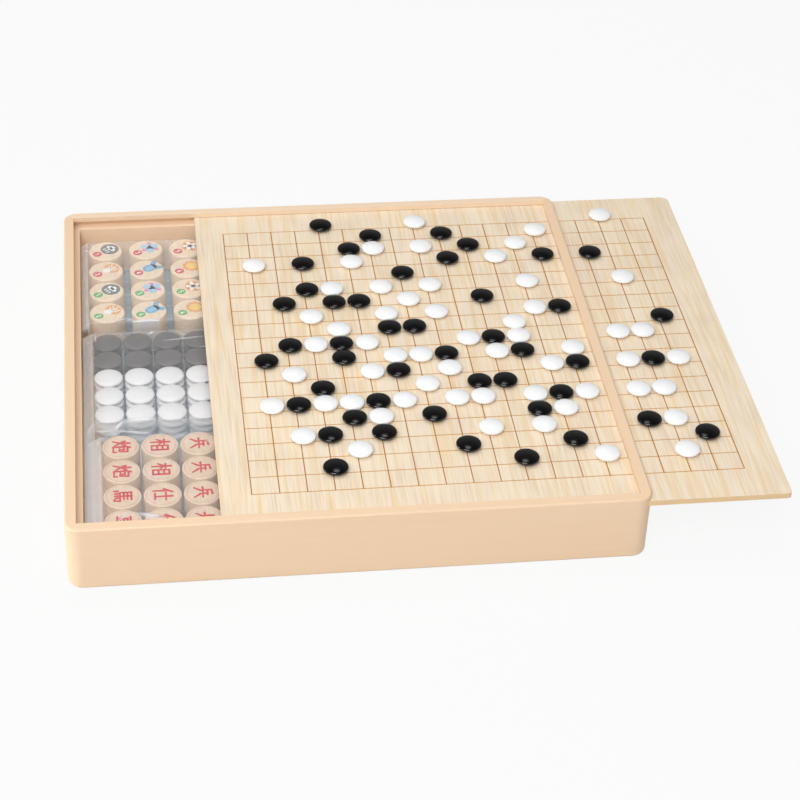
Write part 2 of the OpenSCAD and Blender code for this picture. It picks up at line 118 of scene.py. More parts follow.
class Paint:
    """Node tree of one material, put together in short calls."""

    def __init__(self, name: str) -> None:
        """Starts a material of that name.

        Args:
            name: the material's name.
        """
        self.material = bpy.data.materials.new(name)
        self.material.use_nodes = True
        self.nodes = self.material.node_tree.nodes
        self.links = self.material.node_tree.links
        self.surface = self.nodes["Principled BSDF"]

    def fix(self, **values: object) -> None:
        """Sets sockets of the shader, named with an underscore for each space."""
        for name, value in values.items():
            self.surface.inputs[name.replace("_", " ")].default_value = value

    def feed(self, name: str, source: Socket) -> None:
        """Wires a source to the shader's socket of that name."""
        self.links.new(source, self.surface.inputs[name])

    def place(self, cell: Place) -> Socket:
        """Gives the object's own coordinates, counted in cells.

        Args:
            cell: size of one cell on each axis, in metres.

        Returns:
            The vector to hang a texture on.
        """
        origin = self.nodes.new("ShaderNodeTexCoord")
        stretch = self.nodes.new("ShaderNodeMapping")
        stretch.inputs["Scale"].default_value = [1 / size for size in cell]
        self.links.new(origin.outputs["Object"], stretch.inputs["Vector"])
        return stretch.outputs["Vector"]

    def noise(self, vector: Socket, detail: float = 2.0, twist: float = 0.0) -> Socket:
        """Gives a noise of one cell's size.

        Args:
            vector: where the noise hangs.
            detail: how many finer layers it has.
            twist: how far it is bent out of line.

        Returns:
            The noise from 0 to 1.
        """
        texture = self.nodes.new("ShaderNodeTexNoise")
        texture.inputs["Scale"].default_value = 1.0
        texture.inputs["Detail"].default_value = detail
        texture.inputs["Distortion"].default_value = twist
        self.links.new(vector, texture.inputs["Vector"])
        return texture.outputs["Fac"]

    def span(self, value: Socket, low: float, high: float) -> Socket:
        """Stretches the values between low and high to 0 and 1.

        Args:
            value: the value to stretch.
            low: what becomes 0.
            high: what becomes 1.

        Returns:
            The stretched value, held between 0 and 1.
        """
        stretch = self.nodes.new("ShaderNodeMapRange")
        stretch.inputs["From Min"].default_value = low
        stretch.inputs["From Max"].default_value = high
        self.links.new(value, stretch.inputs["Value"])
        return stretch.outputs["Result"]

    def count(self, operation: str, first: Socket, second: Socket | float) -> Socket:
        """Works out one operation of two values.

        Args:
            operation: the operation's name.
            first: the first value.
            second: the second value, wired or plain.

        Returns:
            The result.
        """
        step = self.nodes.new("ShaderNodeMath")
        step.operation = operation
        self.links.new(first, step.inputs[0])
        if isinstance(second, float):
            step.inputs[1].default_value = second
        else:
            self.links.new(second, step.inputs[1])
        return step.outputs["Value"]

    def blend(self, share: Socket, first: Colour | Socket, second: Colour | Socket) -> Socket:
        """Goes from one colour to another.

        Args:
            share: 0 for the first colour, 1 for the second.
            first: an eye colour or a wired one.
            second: an eye colour or a wired one.

        Returns:
            The blended colour.
        """
        mixer = self.nodes.new("ShaderNodeMix")
        mixer.data_type = "RGBA"
        self.links.new(share, mixer.inputs["Factor"])
        colours = [socket for socket in mixer.inputs if socket.type == "RGBA"]
        for socket, colour in zip(colours, (first, second)):
            if isinstance(colour, tuple):
                socket.default_value = linear(colour)
            else:
                self.links.new(colour, socket)
        return next(socket for socket in mixer.outputs if socket.type == "RGBA")

    def bump(self, height: Socket, depth: float) -> None:
        """Gives the surface a fine relief.

        Args:
            height: the relief from 0 to 1.
            depth: its full height in metres.
        """
        relief = self.nodes.new("ShaderNodeBump")
        relief.inputs["Distance"].default_value = depth
        self.links.new(height, relief.inputs["Height"])
        self.feed("Normal", relief.outputs["Normal"])

    def upward(self, kind: str) -> Socket:
        """Gives the share of +Z in a coordinate of the object's own frame.

        Args:
            kind: "Normal" for the way that the surface faces, "Object" for its height.

        Returns:
            The share.
        """
        origin = self.nodes.new("ShaderNodeTexCoord")
        split = self.nodes.new("ShaderNodeSeparateXYZ")
        self.links.new(origin.outputs[kind], split.inputs["Vector"])
        return split.outputs["Z"]


@dataclass(frozen=True)
class Wood:
    """Wood with long soft streaks and fine pores.

    Args:
        name: the material's name.
        base: its main colour.
        streak: the colour of its warm streaks.
        shade: the colour of its grey streaks.
        grain: the way that the streaks run.
        width: width of a broad streak.
        length: length of a broad streak.
        roughness: roughness of the finish.
        coat: share of clear coat over it.
        edge: colour of the edges, where they differ from the faces.
        warm: how much of the surface the warm streaks take, from 0 to 1.
        pore: depth of the pores.
        drift: how far the roughness drifts to each side.
        coat_roughness: roughness of the clear coat.
    """

    name: str
    base: Colour
    streak: Colour
    shade: Colour
    grain: Grain
    width: float = 4 * MM
    length: float = 90 * MM
    roughness: float = 0.5
    coat: float = 0.0
    edge: Colour | None = None
    warm: float = 0.5
    pore: float = 0.02 * MM
    drift: float = 0.06
    coat_roughness: float = 0.25

    def cell(self, width: float, length: float) -> Place:
        """Gives the texture's cell, turned along the grain."""
        return (length, width, width) if self.grain is Grain.ALONG_X else (width, length, width)

    def printed(self, paint: Paint, wood: Socket) -> Socket:
        """Gives the colour of the wood with what is printed on it, which is nothing here."""
        return wood

    def material(self) -> bpy.types.Material:
        """Makes the material."""
        paint = Paint(self.name)
        broad = paint.noise(paint.place(self.cell(self.width, self.length)), detail=3.0, twist=0.3)
        fine = paint.noise(paint.place(self.cell(self.width / 4, self.length / 2)), detail=2.0)
        cloud = paint.noise(paint.place(self.cell(self.width * 9, self.length / 2)), detail=1.0)
        middle = 0.68 - 0.3 * self.warm
        warm_share = paint.span(broad, middle - 0.08, middle + 0.2)
        colour = paint.blend(warm_share, self.base, self.streak)
        lines, patches = paint.span(fine, 0.4, 0.7), paint.span(cloud, 0.3, 0.65)
        colour = paint.blend(paint.count("MULTIPLY", lines, patches), colour, self.shade)
        if self.edge is not None:
            side = paint.span(paint.count("ABSOLUTE", paint.upward("Normal"), 0.0), 0.9, 0.5)
            colour = paint.blend(side, colour, self.edge)
        paint.feed("Base Color", self.printed(paint, colour))
        rough = paint.nodes.new("ShaderNodeMapRange")
        rough.inputs["To Min"].default_value = self.roughness - self.drift
        rough.inputs["To Max"].default_value = self.roughness + self.drift
        paint.links.new(fine, rough.inputs["Value"])
        paint.feed("Roughness", rough.outputs["Result"])
        paint.bump(fine, self.pore)
        if self.coat:
            paint.fix(Coat_Weight=self.coat, Coat_Roughness=self.coat_roughness)
        return paint.material


@dataclass(frozen=True)
class Engraved(Wood):
    """Wood whose engraved marks are filled with ink.

    Args:
        ink: colour of the ink.
        floor: height of the flat floors that the ink lies on.
        reach: how far above and below that height the ink still lies.
    """

    ink: Colour = (60, 60, 60)
    floor: float = 0.0
    reach: float = 0.1 * MM

    def printed(self, paint: Paint, wood: Socket) -> Socket:
        """Lays ink on the flat floors at that height.

        Args:
            paint: the node tree.
            wood: the bare wood's colour.

        Returns:
            The colour of both.
        """
        height = paint.upward("Object")
        above = paint.count("GREATER_THAN", height, self.floor - self.reach)
        below = paint.count("LESS_THAN", height, self.floor + self.reach)
        flat = paint.count("GREATER_THAN", paint.upward("Normal"), 0.95)
        share = paint.count("MULTIPLY", paint.count("MULTIPLY", above, below), flat)
        return paint.blend(share, wood, self.ink)


@dataclass(frozen=True)
class Ink:
    """Matt printed ink with a slight mottle.

    Args:
        name: the material's name.
        colour: its colour.
        fade: how far it pales in spots, from 0 to 1.
        spot: size of a spot.
        roughness: its roughness.
    """

    name: str
    colour: Colour
    fade: float = 0.15
    spot: float = 1.1 * MM
    roughness: float = 0.55

    def material(self) -> bpy.types.Material:
        """Makes the material."""
        paint = Paint(self.name)
        spots = paint.noise(paint.place((self.spot,) * 3), detail=3.0)
        pale = tuple(part + (255 - part) * self.fade for part in self.colour)
        paint.feed("Base Color", paint.blend(paint.span(spots, 0.35, 0.75), self.colour, pale))
        paint.fix(Roughness=self.roughness)
        return paint.material


@dataclass(frozen=True)
class Glaze:
    """Smooth moulded stone, glossy or satin.

    Args:
        name: the material's name.
        colour: its colour.
        second: the colour that it drifts to.
        roughness: roughness of the moulding.
        coat: share of the polished skin.
        skin: roughness of the polished skin.
        patch: size of a patch of one colour.
        ripple: width of a ripple in the moulding.
        ripple_depth: depth of a ripple.
    """

    name: str
    colour: Colour
    second: Colour
    roughness: float
    coat: float
    skin: float
    patch: float = 14 * MM
    ripple: float = 5 * MM
    ripple_depth: float = 0.03 * MM

    def material(self) -> bpy.types.Material:
        """Makes the material."""
        paint = Paint(self.name)
        drift = paint.noise(paint.place((self.patch,) * 3), detail=1.0)
        paint.feed("Base Color", paint.blend(paint.span(drift, 0.35, 0.65), self.colour, self.second))
        paint.bump(paint.noise(paint.place((self.ripple,) * 3)), self.ripple_depth)
        paint.fix(Roughness=self.roughness, Coat_Weight=self.coat, Coat_Roughness=self.skin)
        return paint.material


@dataclass(frozen=True)
class Film:
    """Thin hazy film that whitens where it turns away and along its creases, where the whitening is a painted
    highlight.

    Args:
        name: the material's name.
        haze: how much it shows where it faces the eye.
        rim: how much more it shows where it turns away.
        mottle: how much more it shows in soft patches.
        crease: name of the mesh attribute that marks its creases with their painted highlights, and how much
            it whitens elsewhere.
        tint: its colour.
        clearest: the least that it ever shows.
        whitest: the most that it ever shows.
    """

    name: str
    haze: float
    rim: float = 0.3
    mottle: float = 0.05
    crease: str = "crease"
    tint: Colour = (234, 235, 238)
    clearest: float = 0.02
    whitest: float = 0.95

    def material(self) -> bpy.types.Material:
        """Makes the material."""
        paint = Paint(self.name)
        turn = paint.nodes.new("ShaderNodeLayerWeight")
        turn.inputs["Blend"].default_value = 0.3
        mark = paint.nodes.new("ShaderNodeAttribute")
        mark.attribute_name = self.crease
        patches = paint.span(paint.noise(paint.place((7 * MM, 11 * MM, 7 * MM)), detail=3.0), 0.4, 0.7)
        bent = paint.count("MULTIPLY", paint.span(turn.outputs["Facing"], 0.45, 1.0), self.rim)
        veil = paint.count("ADD", paint.count("MULTIPLY", patches, self.mottle), self.haze)
        # The crease mark adds the painted highlights along the folds to the alpha.
        alpha = paint.count("ADD", paint.count("ADD", veil, bent), mark.outputs["Fac"])
        held = paint.count("MINIMUM", alpha, self.whitest)
        paint.feed("Alpha", paint.count("MAXIMUM", held, self.clearest))
        paint.fix(Base_Color=linear(self.tint), Roughness=0.3, Specular_IOR_Level=0.6,
                  Coat_Weight=1.0, Coat_Roughness=0.12)
        return paint.material


@dataclass(frozen=True)
class Paper:
    """Matt printed paper with a fine fibre.

    Args:
        name: the material's name.
        colour: its print.
        line: colour of its ruled lines.
        pitch: distance between the ruled lines.
        rule: width of a ruled line, as a share of that distance.
        fibre: size of its fibres.
        relief: height of its fibres.
    """

    name: str
    colour: Colour
    line: Colour
    pitch: float = 17 * MM
    rule: float = 0.05
    fibre: float = 0.8 * MM
    relief: float = 0.02 * MM

    def material(self) -> bpy.types.Material:
        """Makes the material."""
        paint = Paint(self.name)
        fibre = paint.noise(paint.place((self.fibre,) * 3), detail=4.0)
        deep = tuple(part * 0.93 for part in self.colour)
        colour = paint.blend(paint.span(fibre, 0.3, 0.7), self.colour, deep)
        split = paint.nodes.new("ShaderNodeSeparateXYZ")
        paint.links.new(paint.place((self.pitch,) * 3), split.inputs["Vector"])
        for axis in ("X", "Y"):
            phase = paint.count("FRACT", split.outputs[axis], 0.0)
            ruled = paint.count("GREATER_THAN", phase, 1 - self.rule)
            colour = paint.blend(ruled, colour, self.line)
        paint.feed("Base Color", colour)
        paint.bump(fibre, self.relief)
        paint.fix(Roughness=0.75)
        return paint.material


@dataclass
class Shape:
    """Gathers closed solids of one object, each with a finish of its own.

    Args:
        points: the corners.
        faces: the corners' numbers of each face.
        finishes: number of each face's finish.
        ROUND: sides of a stroke's round end.
        STEP_UP: how much higher each further piece of a stroke is, so that no two tops coincide.
    """

    points: list[Place] = field(default_factory=list)
    faces: list[tuple[int, ...]] = field(default_factory=list)
    finishes: list[int] = field(default_factory=list)
    ROUND: ClassVar[int] = 6
    STEP_UP: ClassVar[float] = 0.002 * MM

    def prism(self, outline: list[Point], low: float, high: float, finish: int = 0) -> None:
        """Adds an upright prism.

        Args:
            outline: its corners, counted against the clock.
            low: height of its underside.
            high: height of its top.
            finish: number of its finish.
        """
        first, size = len(self.points), len(outline)
        self.points += [(x, y, low) for x, y in outline] + [(x, y, high) for x, y in outline]
        made = [tuple(first + i for i in reversed(range(size))),
                tuple(first + size + i for i in range(size))]
        for i in range(size):
            j = (i + 1) % size
            made.append((first + i, first + j, first + size + j, first + size + i))
        self.faces += made
        self.finishes += [finish] * len(made)

    def oval(self, centre: Point, radii: Point, low: float, high: float, finish: int = 0,
             turn: float = 0.0, sides: int = 28) -> None:
        """Adds an upright disc with an oval outline.

        Args:
            centre: its middle.
            radii: its half width and half depth.
            low: height of its underside.
            high: height of its top.
            finish: number of its finish.
            turn: turn of the outline, in radians.
            sides: corners of the outline.
        """
        outline = []
        for i in range(sides):
            angle = math.tau * i / sides
            x, y = radii[0] * math.cos(angle), radii[1] * math.sin(angle)
            outline.append((centre[0] + x * math.cos(turn) - y * math.sin(turn),
                            centre[1] + x * math.sin(turn) + y * math.cos(turn)))
        self.prism(outline, low, high, finish)

    def stroke(self, line: list[Point], widths: Point, low: float, high: float, finish: int = 0,
               swell: float = 0.0) -> None:
        """Adds a brush stroke with round ends, joined at the corners of its line.

        Args:
            line: the corners of its middle line.
            widths: its width where it runs to the right, and where it runs to the back.
            low: height of its underside.
            high: height of its top.
            finish: number of its finish.
            swell: how much wider it starts than it ends, as a share of its width.
        """
        lengths = [math.dist(line[i], line[i + 1]) for i in range(len(line) - 1)]
        total, done = sum(lengths), 0.0
        quarter = math.pi / 2
        for i, length in enumerate(lengths):
            (ax, ay), (bx, by) = line[i], line[i + 1]
            heading = math.atan2(by - ay, bx - ax)
            width = widths[1] + (widths[0] - widths[1]) * math.cos(heading) ** 2
            half = [width / 2 * (1 + swell * (0.5 - (done + part) / total)) for part in (0.0, length)]
            outline = []
            for x, y, radius, start in ((bx, by, half[1], -quarter), (ax, ay, half[0], quarter)):
                for k in range(self.ROUND + 1):
                    angle = heading + start + math.pi * k / self.ROUND
                    outline.append((x + radius * math.cos(angle), y + radius * math.sin(angle)))
            self.prism(outline, low, high + i * self.STEP_UP, finish)
            done += length

    def make(self, name: str, body: Body, *materials: bpy.types.Material) -> Thing:
        """Makes the object and sets it on its body.

        Args:
            name: the object's name.
            body: what it rides on.
            materials: its finishes, in the order of their numbers.

        Returns:
            The object.
        """
        mesh = bpy.data.meshes.new(name)
        mesh.from_pydata(self.points, [], self.faces)
        for material in materials:
            mesh.materials.append(material)
        mesh.polygons.foreach_set("material_index", self.finishes)
        mesh.update()
        made = bpy.data.objects.new(name, mesh)
        bpy.context.scene.collection.objects.link(made)
        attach(made, body.value)
        return made


@dataclass(frozen=True)
class Solid:
    """Box of one solid in a node.

    Args:
        low: its lowest corner.
        high: its highest corner.
    """

    low: Vector
    high: Vector

    @property
    def centre(self) -> Vector:
        """Middle of the solid."""
        return (self.low + self.high) / 2

    @property
    def radius(self) -> float:
        """Half of its width."""
        return (self.high.x - self.low.x) / 2


def solids_of(node: str, frame: dict) -> list[Solid]:
    """Finds the separate solids of a node.

    Args:
        node: the node's name.

    Returns:
        The solids' boxes.
    """
    mesh = frame["nodes"][node].data
    corners = np.empty(len(mesh.vertices) * 3)
    mesh.vertices.foreach_get("co", corners)
    corners = corners.reshape(-1, 3)
    whole = np.round(corners / WELD).astype(int)
    _, first, same = np.unique(whole, axis=0, return_index=True, return_inverse=True)
    ends = np.empty(len(mesh.edges) * 2, int)
    mesh.edges.foreach_get("vertices", ends)
    start, end = same.ravel()[ends.reshape(-1, 2)].T
    label = np.arange(len(first))
    while True:
        least = np.minimum(label[start], label[end])
        lower = label.copy()
        np.minimum.at(lower, start, least)
        np.minimum.at(lower, end, least)
        lower = lower[lower]
        if (lower == label).all():
            break
        label = lower
    places = corners[first]
    groups = [places[label == number] for number in np.unique(label)]
    return [Solid(Vector(group.min(0)), Vector(group.max(0))) for group in groups]


def dress(frame: dict, node: str, material: bpy.types.Material) -> None:
    """Gives a node of the frame its finish and reports it.

    Args:
        node: the node's name.
        material: the finish.
    """
    mesh = frame["nodes"][node].data
    mesh.materials.clear()
    mesh.materials.append(material)
    LOG.info("dressed %s", node)


@dataclass
class Casing:
    """The rails, the bar over the slot and the base.

    Args:
        coat: main colour of the coated wood.
        streak: colour of its warm streaks.
        shade: colour of its grey streaks.
    """

    coat: Colour = (242, 211, 177)
    streak: Colour = (240, 208, 173)
    shade: Colour = (243, 213, 181)

    def rail(self, name: str, grain: Grain, lift: float = 0.0) -> bpy.types.Material:
        """Makes the clear-coated wood of a rail.

        Args:
            name: the material's name.
            grain: the way that its streaks run.
            lift: how much paler it is painted than the others, most of all in blue, as painted light where
                the lamps leave a rail too dark.

        Returns:
            The material.
        """
        tones = [tuple(part + lift * step for step, part in enumerate(colour, 1))
                 for colour in (self.coat, self.streak, self.shade)]
        return Wood(name, *tones, grain, width=5 * MM, length=180 * MM, roughness=0.5, coat=0.06,
                    pore=0.004 * MM).material()

    def build(self, frame: dict) -> None:
        """Dresses the casing's nodes."""
        dress(frame, "front_rail", self.rail("front_wood", Grain.ALONG_X))
        # Painted light: the back rail is painted paler where the lamps leave its top and inner face darker
        # than the front.
        dress(frame, "back_rail", self.rail("back_wood_painted_paler", Grain.ALONG_X, 4.0))
        crosswise = self.rail("side_wood", Grain.ALONG_Y)
        for node in ("left_rail", "right_rail", "slot_bar"):
            dress(frame, node, crosswise)
        base = Wood("base_wood", (232, 208, 172), (222, 190, 146), (214, 192, 158), Grain.ALONG_X,
                    width=9 * MM, length=140 * MM, roughness=0.62)
        dress(frame, "base_panel", base.material())


@dataclass
class GameBoard:
    """The sliding board and the ink in its engraved grid.

    Args:
        lines: lines of the grid each way.
        line_width: width of an engraved line.
        line_depth: its depth.
        margin_left: room from the board's left edge to the first line.
        margin_right: room at its right edge.
        margin_front: room at its front edge.
        margin_back: room at its back edge.
        ink_room: how far the ink keeps off the sides of its line and off the board's face.
    """

    lines: int = 19
    line_width: float = 0.7 * MM
    line_depth: float = 0.15 * MM
    margin_left: float = 20.4 * MM
    margin_right: float = 24.8 * MM
    margin_front: float = 27.6 * MM
    margin_back: float = 28.6 * MM
    ink_room: float = 0.015 * MM

    def build(self, frame: dict) -> None:
        """Dresses the board and inks its grid."""
        veneer = Wood("board_veneer", (244, 228, 204), (237, 206, 152), (226, 204, 181), Grain.ALONG_Y,
                      width=2.6 * MM, length=70 * MM, roughness=0.5, edge=(234, 200, 154), warm=0.45)
        dress(frame, "game_board", veneer.material())
        low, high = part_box("game_board")
        left, right = low.x + self.margin_left, high.x - self.margin_right
        front, back = low.y + self.margin_front, high.y - self.margin_back
        half = self.line_width / 2 - self.ink_room
        step = self.ink_room / 3
        bottom, top = high.z - self.line_depth + step, high.z - self.ink_room
        shape = Shape()
        for i in range(self.lines):
            x = left + (right - left) * i / (self.lines - 1)
            y = front + (back - front) * i / (self.lines - 1)
            shape.prism([(x - half, front - half), (x + half, front - half),
                         (x + half, back + half), (x - half, back + half)], bottom, top)
            shape.prism([(left - half, y - half), (right + half, y - half),
                         (right + half, y + half), (left - half, y + half)], bottom, top - step, 1)
        grid = shape.make("grid_ink", Body.BOARD, Ink("grid_line_ink", (176, 108, 6), 0.06).material(),
                          Ink("cross_line_ink", (198, 134, 40), 0.1).material())
        LOG.info("made %s with %d lines each way", grid.name, self.lines)


@dataclass
class Stones:
    """Go stones of one colour, loose on the board or stacked in the pack.

    Args:
        node: the stones' node.
        body: what they ride on.
        material: their finish.
        slot: the record's name for their material, not used.
        rim: radius of the round rim between the two domes.
        sides: points round a stone.
        dome_rings: rings of points on a dome.
        rim_rings: rings of points on the rim.
    """

    node: str
    body: Body
    material: bpy.types.Material
    slot: str
    rim: float = 1.3 * MM
    sides: int = 48
    dome_rings: int = 9
    rim_rings: int = 7

    def profile(self, radius: float, thick: float) -> list[Point]:
        """Gives the section from the top's middle to the underside's middle.

        Args:
            radius: the stone's radius.
            thick: its thickness.

        Returns:
            Distances from the axis and heights over the stone's middle.
        """
        reach = radius - self.rim
        dome = (reach ** 2 + (thick / 2) ** 2 - self.rim ** 2) / (thick - 2 * self.rim)
        sink = dome - thick / 2
        slope = math.asin(reach / (dome - self.rim))
        upper = []
        for i in range(self.dome_rings):
            angle = slope * i / self.dome_rings
            upper.append((dome * math.sin(angle), dome * math.cos(angle) - sink))
        turn = math.pi - 2 * slope
        edge = []
        for i in range(self.rim_rings + 1):
            angle = slope + turn * i / self.rim_rings
            edge.append((reach + self.rim * math.sin(angle), self.rim * math.cos(angle)))
        return upper + edge + [(r, -z) for r, z in reversed(upper)]

    def build(self, frame: dict) -> Thing:
        """Builds every stone of the node as a smooth turned shape.


        Returns:
            The stones as one object.
        """
        shape = Shape()
        for solid in solids_of(self.node, frame):
            section = self.profile(solid.radius, solid.high.z - solid.low.z)
            middle, first = solid.centre, len(shape.points)
            shape.points.append((middle.x, middle.y, middle.z + section[0][1]))
            for r, z in section[1:-1]:
                for i in range(self.sides):
                    angle = math.tau * i / self.sides
                    x, y = middle.x + r * math.cos(angle), middle.y + r * math.sin(angle)
                    shape.points.append((x, y, middle.z + z))
            shape.points.append((middle.x, middle.y, middle.z + section[-1][1]))
            last, rings = len(shape.points) - 1, len(section) - 2
            for i in range(self.sides):
                j = (i + 1) % self.sides
                shape.faces.append((first, first + 1 + i, first + 1 + j))
                for ring in range(rings - 1):
                    start = first + 1 + ring * self.sides
                    below = start + self.sides
                    shape.faces.append((start + i, below + i, below + j, start + j))
                start = first + 1 + (rings - 1) * self.sides
                shape.faces.append((start + i, last, start + j))
        shape.finishes = [0] * len(shape.faces)
        made = shape.make(f"{self.node}_smooth", self.body, self.material)
        made.data.polygons.foreach_set("use_smooth", [True] * len(made.data.polygons))
        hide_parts(self.node)
        LOG.info("made %s", made.name)
        return made


@dataclass
class Characters:
    """The strokes of the chess marks, on a square of 10 by 10 read with its top up."""

    soldier: Strokes = ([(6.6, 9.8), (3.4, 9.2), (3.4, 5.0)], [(3.4, 7.3), (7.4, 7.3)],
                        [(6.0, 7.3), (6.0, 5.0)], [(1.0, 5.0), (9.0, 5.0)], [(3.6, 3.9), (1.4, 0.8)],
                        [(6.2, 3.9), (8.8, 0.8)])
    cannon: Strokes = ([(0.7, 7.0), (1.2, 5.4)], [(4.0, 7.2), (3.1, 5.6)],
                       [(2.3, 9.4), (2.2, 5.0), (0.6, 1.0)], [(2.3, 4.6), (4.0, 2.2)],
                       [(5.8, 9.6), (4.7, 6.9)], [(5.4, 8.4), (9.2, 8.4), (9.0, 4.4), (8.2, 4.0)],
                       [(5.2, 6.6), (7.6, 6.6), (7.6, 4.4), (5.2, 4.4)],
                       [(5.2, 6.6), (5.2, 1.2), (9.4, 1.2), (9.4, 2.8)])
    horse: Strokes = ([(8.0, 9.4), (2.2, 9.4), (2.2, 3.8)], [(2.2, 7.5), (7.6, 7.5)],
                      [(2.2, 5.7), (7.6, 5.7)], [(5.0, 9.4), (5.0, 3.8)],
                      [(2.2, 3.8), (8.8, 3.8), (8.4, 0.8), (7.2, 1.2)], [(0.9, 2.6), (1.1, 0.9)],
                      [(2.9, 2.6), (3.2, 1.2)], [(4.7, 2.6), (5.0, 1.2)], [(6.3, 2.6), (6.7, 1.6)])
    chariot: Strokes = ([(1.2, 8.6), (8.8, 8.6)],
                        [(2.4, 3.5), (2.4, 7.1), (7.6, 7.1), (7.6, 3.5), (2.4, 3.5)],
                        [(2.4, 5.3), (7.6, 5.3)], [(0.8, 2.1), (9.2, 2.1)], [(5.0, 9.9), (5.0, 0.2)])
    minister: Strokes = ([(0.6, 7.2), (4.6, 7.2)], [(2.7, 9.8), (2.7, 0.4)], [(2.6, 6.8), (0.6, 3.4)],
                         [(2.9, 6.2), (4.4, 4.6)],
                         [(5.6, 9.0), (9.0, 9.0), (9.0, 0.8), (5.6, 0.8), (5.6, 9.0)],
                         [(5.6, 6.3), (9.0, 6.3)], [(5.6, 3.6), (9.0, 3.6)])
    officer: Strokes = ([(3.4, 9.8), (0.8, 5.6)], [(2.3, 7.4), (2.3, 0.4)], [(3.8, 6.6), (9.6, 6.6)],
                        [(6.7, 9.6), (6.7, 1.2)], [(4.4, 1.2), (9.0, 1.2)])
    marshal: Strokes = ([(1.2, 1.2), (1.2, 8.6), (3.8, 8.6), (3.8, 5.8), (1.2, 5.8)],
                        [(1.2, 4.2), (3.8, 4.2), (3.8, 1.2), (1.2, 1.2)], [(1.9, 9.9), (1.6, 8.6)],
                        [(5.2, 2.2), (5.2, 7.4), (9.2, 7.4), (9.2, 2.6), (8.5, 2.4)],
                        [(7.2, 9.8), (7.2, 0.2)])


@dataclass
class ChessPack:
    """The two layers of chess pieces in the front pack.

    Args:
        mark_size: height of a mark.
        upright: width of a stroke that runs up the mark.
        level: width of a stroke that runs across it.
        engrave: depth of the engraving.
        ink_top: how far the ink stands over the face.
        ink_step: how much higher each further stroke is, so that no two tops coincide.
        red: colour of the marks.
        swell: how much wider a stroke starts than it ends.
    """

    mark_size: float = 13 * MM
    upright: float = 1.75 * MM
    level: float = 1.3 * MM
    engrave: float = 0.3 * MM
    ink_top: float = 0.03 * MM
    ink_step: float = 0.001 * MM
    red: Colour = (208, 36, 46)
    swell: float = 0.35

    def marks(self) -> dict[str, Strokes]:
        """Gives the strokes of each red node."""
        marks = Characters()
        return {"red_soldiers": marks.soldier, "red_cannons": marks.cannon, "red_horses": marks.horse,
                "red_chariots": marks.chariot, "red_elephants": marks.minister, "red_advisors": marks.officer,
                "red_general": marks.marshal}

    def wood(self, name: str, ink: Colour, top: float) -> bpy.types.Material:
        """Makes the turned wood of a layer, with ink in its engraving, its colour painted darker as painted
        shade for the film's shadow over the pack.

        Args:
            name: the material's name.
            ink: colour of the ink.
            top: height of the layer's faces.

        Returns:
            The material.
        """
        # Painted shade: these wood colours are darkened to stand in for the film's shadow on the pieces.
        return Engraved(name, (230, 208, 185), (220, 193, 164), (212, 187, 158), Grain.ALONG_Y,
                        width=1.6 * MM, length=16 * MM, roughness=0.55, warm=0.4, ink=ink,
                        floor=top - self.engrave).material()

    def build(self, frame: dict) -> None:
        """Dresses both layers and brushes the upper layer's marks."""
        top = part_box("red_soldiers")[1].z
        red_wood = self.wood("red_piece_wood", (232, 150, 146), top)
        ink = Ink("red_mark_ink", self.red, 0.12).material()
        for node, strokes in self.marks().items():
            dress(frame, node, red_wood)
            self.brush(frame, node, strokes, top, ink)
        black_wood = self.wood("black_piece_wood", (40, 38, 38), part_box("black_soldiers")[1].z)
        for node in ("black_soldiers", "black_cannons", "black_horses", "black_chariots", "black_elephants",
                     "black_advisors", "black_general"):
            dress(frame, node, black_wood)

    def brush(self, frame: dict, node: str, strokes: Strokes, top: float,
              ink: bpy.types.Material) -> None:
        """Brushes a mark into the engraving of each piece, with its top to the right.

        Args:
            node: the pieces to mark.
            strokes: the mark.
            top: height of the pieces' faces.
            ink: the ink.
        """
        shape = Shape()
        unit = self.mark_size / 10
        for solid in solids_of(node, frame):
            middle = solid.centre
            for number, stroke in enumerate(strokes):
                line = [(middle.x + (y - 5) * unit, middle.y - (x - 5) * unit) for x, y in stroke]
                shape.stroke(line, (self.upright, self.level), top - self.engrave,
                             top + self.ink_top + self.ink_step * number, swell=self.swell)
        made = shape.make(f"{node}_ink", Body.BOX, ink)
        LOG.info("made %s", made.name)


